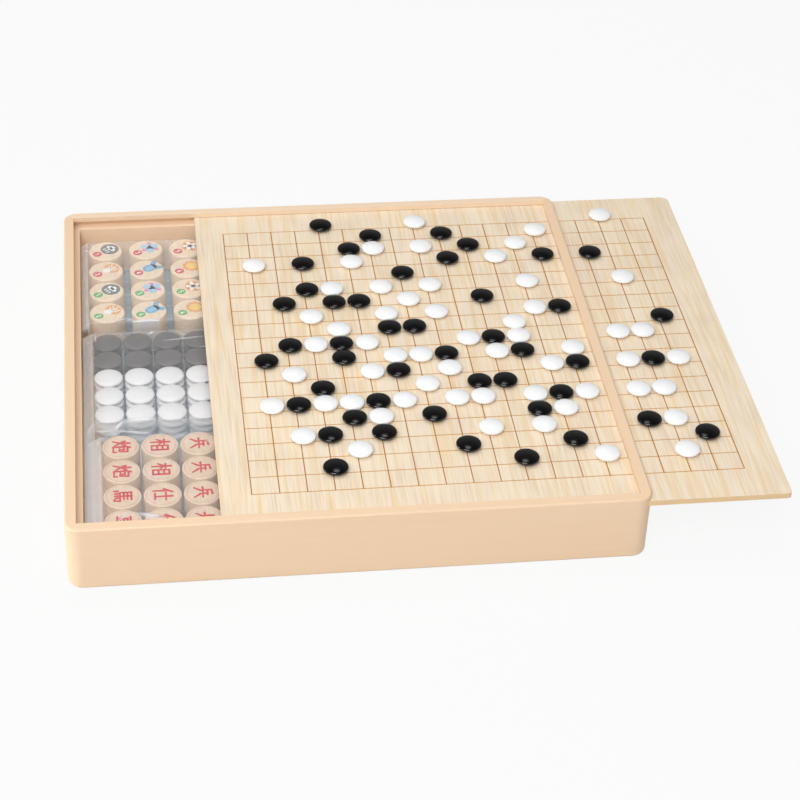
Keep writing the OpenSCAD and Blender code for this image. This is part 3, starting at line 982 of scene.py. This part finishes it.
@dataclass
class TokenPack:
    """The picture tokens and the plain draughts under them.

    Args:
        badge_d: width of a badge.
        picture_d: width of a picture.
        pen: width of a number's line.
        edge: width of the token's rounded edge.
        inset: room from that edge to the print.
        turn: turn of the print against +X.
        seat: how far the print reaches into the token.
        print_top: how far the badges stand over its face.
        layer: thickness of one more layer of print.
        inks: names and colours of the inks.
        digits: the numbers' lines, on a square of 4 by 4 about its middle.
    """

    badge_d: float = 6.8 * MM
    picture_d: float = 14 * MM
    pen: float = 0.6 * MM
    edge: float = 1.2 * MM
    inset: float = 0.5 * MM
    turn: float = math.radians(35)
    seat: float = 0.15 * MM
    print_top: float = 0.02 * MM
    layer: float = 0.02 * MM
    inks: tuple[tuple[str, Colour], ...] = (
        ("badge_red", (214, 62, 76)), ("badge_green", (92, 176, 84)), ("print_white", (246, 244, 238)),
        ("print_grey", (112, 118, 122)), ("print_orange", (236, 164, 92)),
        ("print_pale_blue", (166, 208, 232)), ("print_pink", (228, 142, 190)),
        ("print_blue", (112, 170, 208)), ("print_yellow", (246, 206, 110)))
    digits: Strokes = ([(-1, 1.4), (0, 2), (0, -2)],
                       [(-1, 1.2), (0, 2), (1, 1), (-1, -2), (1, -2)],
                       [(-1, 2), (1, 2), (0, 0.4), (1, -0.8), (0, -2), (-1, -1.6)],
                       [(0.6, -2), (0.6, 2), (-1, -0.8), (1.2, -0.8)],
                       [(1, 2), (-0.8, 2), (-0.9, 0.3), (0.9, 0.1), (0.8, -1.6), (-1, -2)],
                       [(0.8, 2), (-0.9, 0), (-0.7, -1.8), (0.8, -1.8), (0.9, -0.2), (-0.8, -0.3)],
                       [(-1, 2), (1, 2), (-0.3, -2)],
                       [(0, 0), (-0.8, 1), (0, 2), (0.8, 1), (0, 0), (-1, -1), (0, -2), (1, -1), (0, 0)])

    def build(self, frame: dict) -> None:
        """Dresses the tokens and prints their badges and pictures."""
        wood = Wood("token_wood", (243, 221, 195), (235, 207, 174), (228, 202, 171), Grain.ALONG_Y,
                    width=1.8 * MM, length=18 * MM, roughness=0.55, warm=0.4).material()
        inks = [Ink(name, colour, 0.1).material() for name, colour in self.inks]
        dress(frame, "plain_draughts", wood)
        pictures = (self.cloud, self.leaf, self.drop, self.fish, self.star, self.sun, self.flower, self.shell)
        nodes = ("cloud_tokens", "leaf_tokens", "drop_tokens", "fish_tokens", "star_tokens", "sun_tokens",
                 "flower_tokens", "shell_tokens")
        for number, (node, picture) in enumerate(zip(nodes, pictures)):
            dress(frame, node, wood)
            tokens = sorted(solids_of(node, frame), key=lambda solid: solid.centre.y)
            shape = Shape()
            for token, badge in zip(tokens, (1, 0)):
                self.stamp(shape, token, badge, self.digits[number], picture)
            made = shape.make(node.replace("_tokens", "_prints"), Body.BOX, *inks)
            LOG.info("made %s", made.name)

    def stamp(self, shape: Shape, token: Solid, badge: int, digit: list[Point],
              picture: Callable[[Shape, Vector, float], None]) -> None:
        """Prints one token's badge, number and picture.

        Args:
            shape: where the print goes.
            token: the token.
            badge: number of the badge's ink.
            digit: the number's line.
            picture: the method that draws the picture.
        """
        reach = token.radius - self.edge - self.inset
        along = Vector((math.cos(self.turn), math.sin(self.turn)))
        middle = token.centre.to_2d()
        low, high = token.high.z - self.seat, token.high.z + self.print_top
        spot = middle + along * (self.badge_d / 2 - reach)
        shape.oval(tuple(spot), (self.badge_d / 2, self.badge_d / 2), low, high, badge)
        unit = self.badge_d / 8
        line = [tuple(spot + self.turned(x * unit, y * unit)) for x, y in digit]
        shape.stroke(line, (self.pen, self.pen), high, high + self.layer, 2)
        picture(shape, middle + along * (reach - self.picture_d / 2), high)

    def turned(self, x: float, y: float) -> Vector:
        """Turns an offset on the token by the print's turn, with its top to the right."""
        angle = self.turn - math.pi / 2
        across, up = math.cos(angle), math.sin(angle)
        return Vector((x * across - y * up, x * up + y * across))

    def dot(self, shape: Shape, centre: Vector, x: float, y: float, radii: Point, level: float, finish: int,
            turn: float = 0.0) -> None:
        """Adds one oval of a picture, in shares of the picture's radius.

        Args:
            shape: where it goes.
            centre: middle of the picture.
            x: how far right of the middle it lies.
            y: how far up it lies.
            radii: its half width and half height.
            level: height that it is printed on.
            finish: number of its ink.
            turn: its own turn.
        """
        unit = self.picture_d / 2
        spot = centre + self.turned(x * unit, y * unit)
        shape.oval(tuple(spot), (radii[0] * unit, radii[1] * unit), level - self.seat,
                   level + self.layer, finish, self.turn - math.pi / 2 + turn)

    def cloud(self, shape: Shape, centre: Vector, level: float) -> None:
        """Draws a white cloud with drops on a grey disc."""
        self.dot(shape, centre, 0.0, 0.0, (0.96, 0.96), level, 3)
        for x, y, size in ((-0.36, 0.16, 0.24), (0.36, 0.16, 0.22), (0.0, 0.34, 0.3), (0.0, 0.1, 0.24)):
            self.dot(shape, centre, x, y, (size, size), level + self.layer, 2)
        for x in (-0.34, 0.0, 0.34):
            self.dot(shape, centre, x, -0.44, (0.08, 0.2), level + self.layer, 2)

    def leaf(self, shape: Shape, centre: Vector, level: float) -> None:
        """Draws an orange leaf with white veins."""
        self.dot(shape, centre, 0.0, 0.2, (0.86, 0.74), level, 4)
        self.dot(shape, centre, 0.0, -0.4, (0.42, 0.5), level + self.layer, 2)
        self.dot(shape, centre, 0.0, 0.2, (0.07, 0.66), level + 2 * self.layer, 2)
        for y in (0.1, 0.45):
            for side in (-1, 1):
                self.dot(shape, centre, 0.34 * side, y, (0.3, 0.07), level + self.layer, 2, 0.6 * side)

    def drop(self, shape: Shape, centre: Vector, level: float) -> None:
        """Draws pale blue drops with pink dots between them."""
        for i in range(3):
            angle = math.tau * i / 3 + math.pi / 2
            x, y = 0.42 * math.cos(angle), 0.42 * math.sin(angle)
            self.dot(shape, centre, x, y, (0.56, 0.44), level, 5, angle)
            self.dot(shape, centre, -1.8 * x, -1.8 * y, (0.26, 0.24), level, 6)

    def fish(self, shape: Shape, centre: Vector, level: float) -> None:
        """Draws a blue fish with pale scales."""
        self.dot(shape, centre, 0.0, -0.16, (0.6, 0.8), level, 7)
        for side in (-1, 1):
            self.dot(shape, centre, 0.42 * side, 0.62, (0.5, 0.3), level, 7, 0.7 * side)
        for y in (-0.5, -0.2, 0.1):
            self.dot(shape, centre, 0.0, y, (0.34, 0.08), level + self.layer, 5)

    def star(self, shape: Shape, centre: Vector, level: float) -> None:
        """Draws a white star on an orange disc, with grey dots round it."""
        self.dot(shape, centre, 0.0, 0.0, (0.9, 0.9), level, 4)
        for i in range(5):
            angle = math.tau * i / 5 + math.pi / 2
            x, y = math.cos(angle), math.sin(angle)
            self.dot(shape, centre, 0.36 * x, 0.36 * y, (0.5, 0.22), level + self.layer, 2, angle)
            self.dot(shape, centre, -0.6 * x, -0.6 * y, (0.1, 0.1), level + self.layer, 3)

    def sun(self, shape: Shape, centre: Vector, level: float) -> None:
        """Draws a yellow sun in a ring of orange rays."""
        for i in range(10):
            angle = math.tau * i / 10
            x, y = 0.68 * math.cos(angle), 0.68 * math.sin(angle)
            self.dot(shape, centre, x, y, (0.3, 0.24), level, 4, angle)
        self.dot(shape, centre, 0.0, 0.0, (0.62, 0.62), level + self.layer, 8)

    def flower(self, shape: Shape, centre: Vector, level: float) -> None:
        """Draws a pink flower with a white heart."""
        for i in range(6):
            angle = math.tau * i / 6
            x, y = 0.55 * math.cos(angle), 0.55 * math.sin(angle)
            self.dot(shape, centre, x, y, (0.4, 0.27), level, 6, angle)
        self.dot(shape, centre, 0.0, 0.0, (0.28, 0.28), level + self.layer, 2)

    def shell(self, shape: Shape, centre: Vector, level: float) -> None:
        """Draws a blue fan with pale ribs."""
        for i in range(5):
            angle = math.pi / 2 + (i - 2) * 0.42
            x, y = 0.46 * math.cos(angle), 0.46 * math.sin(angle) - 0.3
            self.dot(shape, centre, x, y, (0.66, 0.22), level, 7, angle)
            self.dot(shape, centre, x, y, (0.54, 0.05), level + self.layer, 5, angle)


@dataclass(frozen=True)
class Crease:
    """A fold in a film, from one point to another, with a painted highlight along it.

    Args:
        start: where it starts, in the part's frame.
        end: where it ends.
        width: half of its width.
        height: how far it stands up.
        shine: how much it whitens, from 0 to 1, as a painted highlight along the fold.
    """

    start: Point
    end: Point
    width: float = 0.7 * MM
    height: float = 0.5 * MM
    shine: float = 0.6


@dataclass
class FilmPack:
    """The film drawn over one pack of pieces, as a closed pillow with a flap on its left.

    Args:
        node: the pack's node.
        held: the nodes of the pieces in it.
        finish: what the film looks like.
        creases: the folds whose painted highlights show most.
        seed: start of its scattered folds.
        step: size of one cell of its mesh.
        cover: how far it lies over the pieces.
        skin: room between the outer pieces and the bend down.
        sag: how far it sinks between the pieces.
        sag_reach: how far from a piece it has sunk most of that.
        flap_drop: how far the flap lies under the pack's highest point.
        flap_t: thickness of the flap.
        lean: how far out it reaches the flap's level.
        bevel: radius of its outer edges.
        flap_shine: how much the flap whitens.
        gap_shine: how much it whitens between the pieces.
        gap_reach: how far from a piece it has whitened most of that.
        front_clear: how much clearer it is down the front.
        streak: how much the flap's whiteness drifts from column to column.
        curtain: how far the flap's front edge hangs down.
        scattered: number of its faint creases.
        head_room: least room under the top of the box that it fills.
        foot_room: room over the bottom of that box.
    """

    node: str
    held: tuple[str, ...]
    finish: Film
    creases: tuple[Crease, ...]
    seed: int
    step: float = 0.9 * MM
    cover: float = 0.3 * MM
    skin: float = 0.8 * MM
    sag: float = 0.35 * MM
    sag_reach: float = 2.6 * MM
    flap_drop: float = 4.3 * MM
    flap_t: float = 0.6 * MM
    lean: float = 7 * MM
    bevel: float = 1.4 * MM
    flap_shine: float = 0.6
    gap_shine: float = 0.06
    gap_reach: float = 2.2 * MM
    front_clear: float = 0.14
    streak: float = 0.05
    curtain: float = 9 * MM
    scattered: int = 16
    head_room: float = 0.02 * MM
    foot_room: float = 0.05 * MM

    def pieces(self, frame: dict) -> list[Solid]:
        """Gives the upper layer of the pieces in the pack."""
        solids = [solid for node in self.held for solid in solids_of(node, frame)]
        top = max(solid.high.z for solid in solids)
        return [solid for solid in solids if solid.high.z > top - 1 * MM]

    def folds(self, low: Vector, high: Vector) -> list[Crease]:
        """Gives the named creases and a scatter of faint ones along the pack's edges, each with a painted
        highlight.

        Args:
            low: lowest corner of the pack.
            high: its highest corner.

        Returns:
            The creases.
        """
        draw = random.Random(self.seed)
        made = list(self.creases)
        for _ in range(self.scattered):
            x = draw.uniform(low.x, high.x)
            y = draw.choice((low.y, high.y)) + draw.uniform(-4, 4) * MM
            if draw.random() < 0.5:
                x, y = low.x + draw.uniform(0.5, 9) * MM, draw.uniform(low.y, high.y)
            angle, length = draw.uniform(0, math.tau), draw.uniform(4, 13) * MM
            end = (x + length * math.cos(angle), y + length * math.sin(angle))
            height, shine = draw.uniform(0.04, 0.12) * MM, draw.uniform(0.03, 0.14)
            made.append(Crease((x, y), end, 1.1 * MM, height, shine))
        return made

    def near(self, gap: np.ndarray, reach: float) -> np.ndarray:
        """Gives how far a point is out of the pieces' reach, from 0 at a piece to 1."""
        return 1 - np.exp(-((np.maximum(0, gap) / reach) ** 2))

    def sheets(self, x: np.ndarray, y: np.ndarray,
               frame: dict) -> tuple[np.ndarray, np.ndarray, np.ndarray]:
        """Works out the film's top and underside.

        Args:
            x: the grid's distances to the right.
            y: the grid's distances to the back.

        Returns:
            Heights of the top, heights of the underside, and how much the points of both whiten, painted
            highlights of the folds included.
        """
        low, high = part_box(self.node)
        upper = self.pieces(frame)
        top = max(solid.high.z for solid in upper)
        gap = np.full(x.shape, 1.0)
        for solid in upper:
            gap = np.minimum(gap, np.hypot(x - solid.centre.x, y - solid.centre.y) - solid.radius)
        left = min(solid.low.x for solid in upper)
        front = min(solid.low.y for solid in upper)
        z = top + self.cover - self.sag * self.near(gap, self.sag_reach)
        aside = np.clip((left - x) / self.lean, 0, 1)
        down = np.clip(np.maximum(left - x, front - self.skin - y) / self.lean, 0, 1)
        down = down * down * (3 - 2 * down)
        z = z * (1 - down) + (high.z - self.flap_drop) * down
        inside = np.minimum.reduce([high.x - x, high.y - y, y - low.y + self.bevel * (down > 0)])
        short = np.maximum(0, self.bevel - inside)
        z -= self.bevel - np.sqrt(self.bevel ** 2 - short ** 2)
        outside = (x < left - self.skin) | (y < front - self.skin)
        veil = self.flap_shine * np.sqrt(aside)
        between = self.near(gap, self.gap_reach)
        rng = np.random.default_rng(self.seed)
        shine = veil + aside * self.streak * rng.normal(size=x.shape[1])[None, :]
        shine += self.gap_shine * between * (1 - down) - self.front_clear * (down - aside * down)
        # Each fold raises the film and paints a highlight along it.
        for fold in self.folds(low, high):
            ax, ay = fold.start
            dx, dy = fold.end[0] - ax, fold.end[1] - ay
            along = np.clip(((x - ax) * dx + (y - ay) * dy) / (dx * dx + dy * dy), 0, 1)
            away = np.hypot(x - ax - along * dx, y - ay - along * dy)
            taper = 0.3 + 0.7 * np.sin(math.pi * np.clip(along, 0.08, 0.92))
            ridge = np.exp(-((away / fold.width) ** 2)) * taper
            z += fold.height * ridge
            with_painted_glint = np.maximum(shine, fold.shine * ridge + veil * 0.5)
            shine = np.where(ridge > 0.05, with_painted_glint, shine)
        z = np.minimum(z, high.z - self.head_room)
        bottom = np.where(outside, z - self.flap_t, low.z + self.foot_room)
        hem = (aside > 0) & (y < low.y + self.step / 2)
        bottom = np.where(hem, z - self.curtain, bottom)
        shine = np.clip(shine, -0.25, 2)
        return z, bottom, np.concatenate([shine.ravel(), np.where(outside, 0.8 * shine, 0).ravel()])

    def build(self, frame: dict) -> Thing:
        """Builds the film over its pieces.


        Returns:
            The film.
        """
        low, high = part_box(self.node)
        columns = int((high.x - low.x) / self.step)
        rows = int((high.y - low.y) / self.step)
        x, y = np.meshgrid(np.linspace(low.x, high.x, columns), np.linspace(low.y, high.y, rows))
        top, bottom, shine = self.sheets(x, y, frame)
        shape = Shape()
        for z in (top, bottom):
            shape.points += [tuple(point) for point in np.stack([x, y, z], -1).reshape(-1, 3)]
        under = rows * columns
        for row in range(rows - 1):
            for column in range(columns - 1):
                corner = row * columns + column
                face = (corner, corner + 1, corner + columns + 1, corner + columns)
                shape.faces.append(face)
                shape.faces.append(tuple(under + i for i in reversed(face)))
        edge = list(range(columns))
        edge += [row * columns + columns - 1 for row in range(1, rows)]
        edge += [(rows - 1) * columns + column for column in range(columns - 2, -1, -1)]
        edge += [row * columns for row in range(rows - 2, 0, -1)]
        for i, start in enumerate(edge):
            end = edge[(i + 1) % len(edge)]
            shape.faces.append((start, under + start, under + end, end))
        shape.finishes = [0] * len(shape.faces)
        made = shape.make(f"{self.node}_skin", Body.BOX, self.finish.material())
        made.data.polygons.foreach_set("use_smooth", [True] * len(made.data.polygons))
        marks = made.data.attributes.new(self.finish.crease, "FLOAT", "POINT")
        marks.data.foreach_set("value", shine)
        made.visible_shadow, made.visible_diffuse, made.visible_glossy = False, False, False
        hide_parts(self.node)
        LOG.info("made %s", made.name)
        return made


@dataclass
class GameSheet:
    """The printed sheet, folded in three on the floor of the well.

    Args:
        node: the sheet's node.
        layers: its layers when folded.
        thick: room that one layer takes.
        wave: height of its soft waves.
        bend_steps: sides of the round fold.
        length_steps: cells from its front to its back.
    """

    node: str = "game_sheet"
    layers: int = 3
    thick: float = 0.3 * MM
    wave: float = 0.04 * MM
    bend_steps: int = 6
    length_steps: int = 60

    def section(self, low: Vector, high: Vector) -> list[Point]:
        """Gives the middle line of the folded sheet from the front.

        Args:
            low: lowest corner of the room that it fills.
            high: highest corner of that room.

        Returns:
            Distances to the right, and heights.
        """
        pitch = (high.z - low.z - self.thick) / (self.layers - 1)
        bend, first = pitch / 2, low.z + self.thick / 2
        left, right = low.x + self.thick / 2 + bend, high.x - self.thick / 2 - bend
        line: list[Point] = [(left, first)]
        for layer in range(self.layers):
            z, outward = first + layer * pitch, layer % 2 == 0
            stop, side = (right, 1) if outward else (left, -1)
            line.append((stop, z))
            if layer < self.layers - 1:
                for i in range(1, self.bend_steps):
                    angle = math.pi * i / self.bend_steps
                    out, up = bend * math.sin(angle), bend * (1 - math.cos(angle))
                    line.append((stop + side * out, z + up))
                line.append((stop, z + pitch))
        return line

    def build(self, frame: dict) -> Thing:
        """Builds the sheet.


        Returns:
            The sheet.
        """
        low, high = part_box(self.node)
        line = self.section(low, high)
        shape = Shape()
        for step in range(self.length_steps + 1):
            y = low.y + (high.y - low.y) * step / self.length_steps
            lift = self.wave * math.sin(step * 0.9) ** 2
            shape.points += [(x, y, z + lift * (z - low.z) / (high.z - low.z) - self.wave) for x, z in line]
        size = len(line)
        for step in range(self.length_steps):
            for i in range(size - 1):
                corner = step * size + i
                shape.faces.append((corner, corner + 1, corner + size + 1, corner + size))
        shape.finishes = [0] * len(shape.faces)
        finish = Paper("sheet_print", (150, 190, 214), (214, 228, 236))
        made = shape.make("folded_game_sheet", Body.BOX, finish.material())
        made.data.polygons.foreach_set("use_smooth", [True] * len(made.data.polygons))
        body = made.modifiers.new("thickness", "SOLIDIFY")
        body.thickness = self.thick - self.wave
        body.offset = 0.0
        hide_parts(self.node)
        LOG.info("made %s", made.name)
        return made


@dataclass
class Studio:
    """The floor, the lamps and the camera.

    Args:
        eye: where the camera stands.
        azimuth: how far it looks to the right of +Y, in degrees.
        dip: how far it looks down, in degrees.
        roll: its turn about its own axis, in degrees.
        lens: its focal length in millimetres.
        sensor: width of its picture in millimetres.
        floor_size: width of the floor.
        floor_t: thickness of the floor.
        floor_room: how far the floor lies under the box.
        glow: how white the floor shows by itself, where 1 is white.
        horizon: height of a glossy surface's view, as a share, where its room starts to darken.
        zenith: height where its room is darkest.
    """

    eye: Place = (-0.13479, -1.19494, 0.90458)
    azimuth: float = 8.670
    dip: float = 36.897
    roll: float = 2.448
    lens: float = 95.954
    sensor: float = 36.0
    floor_size: float = 12.0
    floor_t: float = 19.8 * MM
    floor_room: float = 0.2 * MM
    glow: float = 0.9
    horizon: float = 0.55
    zenith: float = 0.9

    def camera(self) -> None:
        """Sets the camera at the photograph's viewing angle."""
        data = bpy.data.cameras.new("eye")
        data.lens, data.sensor_width = self.lens, self.sensor
        data.clip_start, data.clip_end = 0.05, 50.0
        made = bpy.data.objects.new("eye", data)
        bpy.context.scene.collection.objects.link(made)
        turn = Matrix.Rotation(-math.radians(self.azimuth), 4, "Z")
        tilt = Matrix.Rotation(math.radians(90 - self.dip), 4, "X")
        bank = Matrix.Rotation(math.radians(self.roll), 4, "Z")
        made.matrix_world = Matrix.Translation(self.eye) @ turn @ tilt @ bank
        bpy.context.scene.camera = made

    def lamp(self, name: str, place: Place, size: Point, power: float, mirrored: bool = True,
             warmth: Colour = (255, 255, 255)) -> None:
        """Hangs a flat lamp that points at the box.

        Args:
            name: the lamp's name.
            place: where it hangs.
            size: its width and height.
            power: its power in watts.
            mirrored: whether glossy surfaces show it.
            warmth: its colour.
        """
        data = bpy.data.lights.new(name, "AREA")
        data.shape = "RECTANGLE"
        data.size, data.size_y = size
        data.energy, data.color = power, linear(warmth)[:3]
        made = bpy.data.objects.new(name, data)
        bpy.context.scene.collection.objects.link(made)
        made.visible_glossy = mirrored
        made.location = place
        made.rotation_euler = (-Vector(place)).to_track_quat("-Z", "Y").to_euler()

    def floor(self) -> None:
        """Lays a plain pale floor that keeps the box's shadow."""
        paint = Paint("pale_floor")
        paint.fix(Base_Color=linear((206, 206, 205)), Roughness=0.9, Specular_IOR_Level=0.1)
        seen = paint.nodes.new("ShaderNodeLightPath")
        direct = paint.count("MAXIMUM", seen.outputs["Is Camera Ray"], seen.outputs["Is Glossy Ray"])
        direct = paint.count("MAXIMUM", direct, seen.outputs["Is Transmission Ray"])
        glow = paint.nodes.new("ShaderNodeEmission")
        mixer = paint.nodes.new("ShaderNodeMixShader")
        share = paint.count("MULTIPLY", direct, self.glow)
        paint.links.new(share, mixer.inputs["Fac"])
        paint.links.new(paint.surface.outputs["BSDF"], mixer.inputs[1])
        paint.links.new(glow.outputs["Emission"], mixer.inputs[2])
        paint.links.new(mixer.outputs["Shader"], paint.nodes["Material Output"].inputs["Surface"])
        shape = Shape()
        half = self.floor_size / 2
        top = -self.floor_room
        shape.prism([(-half, -half), (half, -half), (half, half), (-half, half)],
                    top - self.floor_t, top)
        mesh = bpy.data.meshes.new("floor")
        mesh.from_pydata(shape.points, [], shape.faces)
        mesh.materials.append(paint.material)
        made = bpy.data.objects.new("floor", mesh)
        bpy.context.scene.collection.objects.link(made)

    def world(self, strength: float, mirrored: float, above: float) -> None:
        """Fills the room with even light, behind a white backdrop.

        Args:
            strength: how bright it lights the box, where 1 is white.
            mirrored: how bright its walls show in what is glossy.
            above: how bright its ceiling shows there.
        """
        world = bpy.data.worlds.new("room")
        world.use_nodes = True
        nodes, links = world.node_tree.nodes, world.node_tree.links
        path = nodes.new("ShaderNodeLightPath")
        where = nodes.new("ShaderNodeTexCoord")
        split = nodes.new("ShaderNodeSeparateXYZ")
        links.new(where.outputs["Generated"], split.inputs["Vector"])
        room = nodes.new("ShaderNodeMapRange")
        room.inputs["From Min"].default_value = self.horizon
        room.inputs["From Max"].default_value = self.zenith
        room.inputs["To Min"].default_value = mirrored
        room.inputs["To Max"].default_value = above
        links.new(split.outputs["Z"], room.inputs["Value"])
        level = nodes.new("ShaderNodeMapRange")
        level.inputs["To Min"].default_value = strength
        links.new(room.outputs["Result"], level.inputs["To Max"])
        seen = nodes.new("ShaderNodeMath")
        seen.operation = "MAXIMUM"
        links.new(path.outputs["Is Glossy Ray"], level.inputs["Value"])
        links.new(level.outputs["Result"], seen.inputs[0])
        links.new(path.outputs["Is Camera Ray"], seen.inputs[1])
        links.new(seen.outputs["Value"], nodes["Background"].inputs["Strength"])
        nodes["Background"].inputs["Color"].default_value = (1.0, 1.0, 1.0, 1.0)
        bpy.context.scene.world = world

    def build(self) -> None:
        """Sets up the studio."""
        self.camera()
        self.floor()
        self.world(0.37, 0.17, 0.02)
        self.lamp("overhead", (0.1, 0.6, 1.6), (0.6, 0.6), 3.3, mirrored=False)
        self.lamp("upper_left", (-1.1, 0.2, 1.3), (0.8, 0.8), 2.9, mirrored=False)
        self.lamp("sheen", (0.12, 0.36, 1.65), (0.4, 0.4), 1.1)
        self.lamp("left_glint", (-1.9, 0.1, 0.42), (0.13, 0.13), 3.0, warmth=(255, 252, 246))
        self.lamp("left_low", (-1.25, 0.0, 0.022), (0.5, 0.03), 6.0, warmth=(255, 246, 236))
        self.lamp("front_key", (-0.6, -1.35, 1.65), (1.2, 1.2), 26.0)
        self.lamp("fill", (-0.2, -1.5, 1.3), (0.6, 0.6), 5.0, mirrored=False)
        bpy.context.scene.view_settings.view_transform = "Standard"
        LOG.info("set up the studio")


def films() -> list[FilmPack]:
    """Gives the three film packs with the creases whose painted highlights show most."""
    tokens = ("cloud_tokens", "leaf_tokens", "drop_tokens", "fish_tokens", "star_tokens", "sun_tokens",
              "flower_tokens", "shell_tokens")
    stones = ("packed_white_stones", "packed_black_stones")
    chess = ("red_soldiers", "red_cannons", "red_horses", "red_chariots", "red_elephants", "red_advisors",
             "red_general")
    # Each crease's last number is the painted highlight along it; the brightest stand in for glints off the
    # film.
    token_creases = (Crease((-0.1490, 0.0606), (-0.1427, 0.0640), 0.6 * MM, 0.2 * MM, 0.75),
                     Crease((-0.1427, 0.0640), (-0.1375, 0.0615), 0.6 * MM, 0.2 * MM, 0.75),
                     Crease((-0.1365, 0.0594), (-0.1200, 0.0595), 1.7 * MM, 0.1 * MM, 1.3),
                     Crease((-0.0883, 0.1525), (-0.0830, 0.1507), shine=0.7),
                     Crease((-0.1715, 0.1560), (-0.1685, 0.1530), shine=0.8),
                     Crease((-0.1650, 0.1620), (-0.1652, 0.1520), 0.5 * MM, shine=0.7))
    stone_creases = (Crease((-0.1265, 0.0530), (-0.1240, 0.0550), 1.2 * MM, 0.7 * MM, 0.9),
                     Crease((-0.1164, 0.0437), (-0.0881, 0.0469), 0.5 * MM, shine=0.75),
                     Crease((-0.0920, 0.0340), (-0.0870, 0.0345), 0.5 * MM, shine=0.6),
                     Crease((-0.1650, -0.0530), (-0.1507, -0.0533), 0.5 * MM, 0.4 * MM, 0.5),
                     Crease((-0.1507, -0.0533), (-0.1296, -0.0573), 0.5 * MM, 0.4 * MM, 0.5),
                     Crease((-0.1534, -0.0531), (-0.1469, -0.0470), shine=0.6),
                     Crease((-0.1469, -0.0470), (-0.1265, -0.0465), 1.4 * MM, 0.6 * MM, 0.7),
                     Crease((-0.1710, 0.0490), (-0.1685, 0.0460), shine=0.8),
                     Crease((-0.1650, 0.0550), (-0.1645, 0.0460), 0.5 * MM, shine=0.75))
    chess_creases = (Crease((-0.1527, -0.1539), (-0.1450, -0.1447), shine=0.75),
                     Crease((-0.1400, -0.1471), (-0.1250, -0.1523), 1.9 * MM, 0.8 * MM, 0.85),
                     Crease((-0.0945, -0.0765), (-0.0885, -0.0759), 0.5 * MM, shine=0.6),
                     Crease((-0.1715, -0.0680), (-0.1690, -0.0710), shine=0.8),
                     Crease((-0.1650, -0.0660), (-0.1648, -0.0750), 0.5 * MM, shine=0.7))
    return [FilmPack("token_film", tokens, Film("token_film_skin", 0.18), token_creases, 3),
            FilmPack("stone_film", stones, Film("stone_film_skin", 0.17, mottle=0.02), stone_creases, 5),
            FilmPack("chess_film", chess, Film("chess_film_skin", 0.13), chess_creases, 8)]


def main() -> None:
    """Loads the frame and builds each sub-assembly in order."""
    logging.basicConfig(level=logging.INFO, format="%(message)s")
    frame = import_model()
    Studio().build()
    Casing().build(frame)
    GameBoard().build(frame)
    white = Glaze("white_stone", (250, 250, 249), (246, 247, 248), 0.34, 0.25, 0.2).material()
    black = Glaze("black_stone", (13, 10, 9), (9, 8, 9), 0.2, 0.5, 0.12).material()
    for side, body in (("inside", Body.INSIDE), ("outside", Body.OUTSIDE)):
        Stones(f"white_stones_{side}", body, white, "white_stone").build(frame)
        Stones(f"black_stones_{side}", body, black, "black_stone").build(frame)
    # The packed stones are painted copies of the loose ones: the white is darker, as painted shade for the
    # film's shadow, and the black is grey, as painted light for the film's white veil.
    packed = {
        "white": Glaze("packed_white_stone", (237, 237, 238), (234, 235, 237), 0.34, 0.1, 0.3),
        "black": Glaze("packed_black_stone", (100, 97, 95), (93, 91, 90), 0.4, 0.1, 0.3),
    }
    for colour, painted_light_glaze in packed.items():
        Stones(f"packed_{colour}_stones", Body.BOX, painted_light_glaze.material(), f"{colour}_stone",
               sides=36, dome_rings=5, rim_rings=4).build(frame)
    ChessPack().build(frame)
    TokenPack().build(frame)
    GameSheet().build(frame)
    for pack in films():
        pack.build(frame)
    LOG.info("wrote the sizes")


if __name__ == "__main__":
    main()
